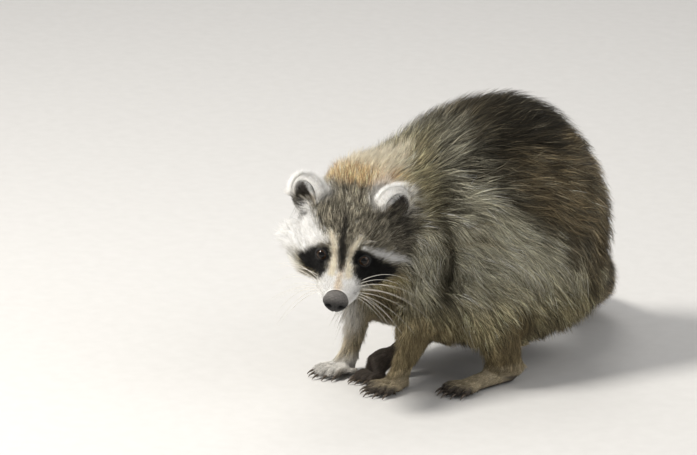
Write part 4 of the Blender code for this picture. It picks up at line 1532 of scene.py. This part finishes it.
def addNose():
    wide, deep, tall = nosePlan["halves"]
    outward, upward = nosePlan["nostril"]

    def place(angle, around):
        a = math.radians(angle)
        x, z, y = math.sin(a) * math.cos(around), math.sin(a) * math.sin(around), math.cos(a)
        low, high = max(0.0, -z), max(0.0, z)
        width = wide * (1 - 0.20 * high ** 1.5) * (1 - 0.26 * low ** 2)      # narrower above and below
        return np.array((x * width, y * deep * (1 - 0.10 * low), z * tall * (1 - 0.10 * high ** 2)))

    points, faces = lathe(np.linspace(0, 180, nosePlan["rings"]), nosePlan["segments"], place)
    side, front, up = points.T
    off, rise = np.abs(side) - outward, up - upward
    onFront = ease(front, 0.0, 0.25)
    pit = np.exp(-((off / 0.22) ** 2 + (rise / 0.2) ** 2)) * nosePlan["pit"] * onFront
    slit = np.exp(-((rise - 0.05 + 0.42 * off) / 0.07) ** 2) * ease(np.abs(side), 0.55, 0.72)
    slit = slit * nosePlan["slit"] * ease(front, -0.4, 0.0)
    groove = np.exp(-(side / 0.055) ** 2) * nosePlan["groove"] * ease(-up, -0.35, 0.25) * onFront
    edge = nosePlan["edge"] * np.exp(-((off / 0.34) ** 2 + ((rise - 0.30) / 0.2) ** 2)) * onFront
    normal = unit(points / np.array((wide, deep, tall)) ** 2)
    points = points - normal * (pit + slit + groove - edge)[:, None]
    centre = inHead(noseMiddle[None])[0] - np.array((0, 0, nosePlan["low"]))
    mesh = meshFromArrays("nosePad", fromHead(points + centre), faces)
    dark, pale = tone(*nosePlan["dark"]), tone(*nosePlan["pale"])
    # painted light: the nose pad's top is painted pale grey as if lit, the lower half and the nostrils dark
    below = ease(0.515 * front - 0.857 * up, -0.35, 0.35)
    colours = pale + (dark - pale) * np.clip((pit + slit) / 0.22 + 0.8 * below, 0, 1)[:, None]
    colours = colours * (1 + 0.2 * cloud(points, 0.35, 61))[:, None]
    colourLayer(mesh, colours)
    nose = addObject("nosePad", mesh)
    mesh.materials.append(noseMaterial())
    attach(nose, "root")
    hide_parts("nose")


def noseMaterial():
    material = newMaterial("noseLeather", 0.5)
    pebble = addGrain(material, "ShaderNodeTexVoronoi", "Distance", Scale=1100.0)
    pebble.node.feature = "DISTANCE_TO_EDGE"
    leather = spread(material, pebble, From_Max=0.18, To_Min=0.55)
    shade = ownTones(material, leather, "MULTIPLY", 0.7)
    addBump(material, leather, 0.9, 0.5 * mm)
    matt = spread(material, shade, From_Max=0.08, To_Min=0.8, To_Max=0.42)      # dry in the nostrils
    material.node_tree.links.new(matt, shaderOf(material).inputs["Roughness"])
    return material


addNose()
print("nose is in")


whiskerPlan = {      # rows: forward and up in centimetres, share of the length
    "rows": ((2.9, -1.55, 0.9), (3.2, -2.0, 1.0), (3.25, -2.5, 1.0), (3.0, -3.0, 0.9)), "each": 3,
    "long": 84 * mm, "short": 40 * mm, "brow": (17 * mm, 27 * mm), "brows": 4, "thick": 0.28 * mm,
    "steps": 13, "root": (196, 188, 172), "tip": (250, 247, 240),
}


def whisker(start, way, fall, length, bend, thick, sides):
    share = np.linspace(0, 1, whiskerPlan["steps"])
    line = start + np.outer(share * length, way) + np.outer(share ** 2.2 * length * fall, (0, 0, -1.0))
    line = line + np.outer(share ** 2 * length * bend, headUp)
    return taperedTube(line, thick * whiskerPlan["thick"] * (1 - 0.85 * share), sides)


def onSkin(place):
    return nearestOn(skinTree, fromHead(place)[None])[0][0]


def addWhiskers():
    parts = []
    short, long = whiskerPlan["short"], whiskerPlan["long"]
    for sign in signOf.values():
        for row, (front, up, reach) in enumerate(whiskerPlan["rows"]):
            for k in range(whiskerPlan["each"]):
                root = onSkin((sign * 2.2, front - 0.55 * k, up + dice.normal(0, 0.06)))
                length = (short + (long - short) * (0.35 + 0.27 * k)) * reach * dice.uniform(0.8, 1.08)
                rise = 0.22 - 0.27 * row + dice.normal(0, 0.11)
                way = unit(np.array((sign * 1.0, -0.42 - 0.12 * k + dice.normal(0, 0.09), rise)) @ headAxes)
                fall, bend = 0.30 + 0.24 * dice.random(), dice.normal(0.04, 0.06)
                parts.append(whisker(root - way * mm, way, fall, length, bend, 1.0, 6))
        for k in range(whiskerPlan["brows"]):
            root = onSkin((sign * (1.5 + 0.3 * k), 0.3, 1.7 + 0.1 * k))
            way = unit(np.array((sign * (0.25 + 0.15 * k), 0.35, 0.9)) @ headAxes)
            parts.append(whisker(root, way, 0.1, dice.uniform(*whiskerPlan["brow"]), -0.3, 0.6, 5))
    mesh = meshFromArrays("whiskers", *joined(parts))
    whiskers = addObject("whiskers", mesh)
    material = newMaterial("whiskerHair", 0.38)
    drift = addGrain(material, "ShaderNodeTexNoise", "Fac", Scale=300.0, Detail=2.0)
    twoTones(material, drift, tone(*whiskerPlan["root"]), tone(*whiskerPlan["tip"]))
    mesh.materials.append(material)
    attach(whiskers, "root")


skinTree = treeOf(skinPoints, skinTriangles)
addWhiskers()
print("whiskers are in")

clawPlan = {      # centimetres along and down; radii in millimetres
    "along": (-0.3, -0.1, 0.15, 0.38, 0.6, 0.78, 0.9), "drop": (0.1, 0.02, -0.03, 0.02, 0.12, 0.25, 0.40),
    "radii": (0, 1.35, 1.3, 1.12, 0.85, 0.5, 0), "rise": 0.12, "sides": 12, "lowest": 0.2 * mm,
    "dark": (44, 36, 30), "pale": (104, 92, 78),
}


def addClaws():
    parts = []
    radii = np.array(clawPlan["radii"]) * mm
    for foot in feetPlan:
        for _, _, tip, beyond in toeLines(foot):
            line = [tip + (beyond - tip) * along + np.array((0, 0, clawPlan["rise"] - drop)) * cm
                    for along, drop in zip(clawPlan["along"], clawPlan["drop"])]
            line = curved(line, 3)
            thick = np.interp(np.linspace(0, len(radii) - 1, len(line)), np.arange(len(radii)), radii)
            parts.append(taperedTube(line, thick, clawPlan["sides"]))
    points, faces = joined(parts)
    points[:, 2] = np.maximum(points[:, 2], clawPlan["lowest"])
    mesh = meshFromArrays("claws", points, faces)
    claws = addObject("claws", mesh)
    material = newMaterial("horn", 0.34)
    drift = addGrain(material, "ShaderNodeTexNoise", "Fac", Scale=700.0, Detail=3.0)
    twoTones(material, drift, tone(*clawPlan["dark"]), tone(*clawPlan["pale"]))
    addBump(material, drift, 0.3, 0.2 * mm)
    mesh.materials.append(material)
    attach(claws, "root")


addClaws()
print("claws are on")

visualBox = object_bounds()
boxes = {"cad": cadBox, "visual": visualBox}
sizes = {name: [list(map(float, corner)) for corner in box] for name, box in boxes.items()}
print("sizes", sizes)
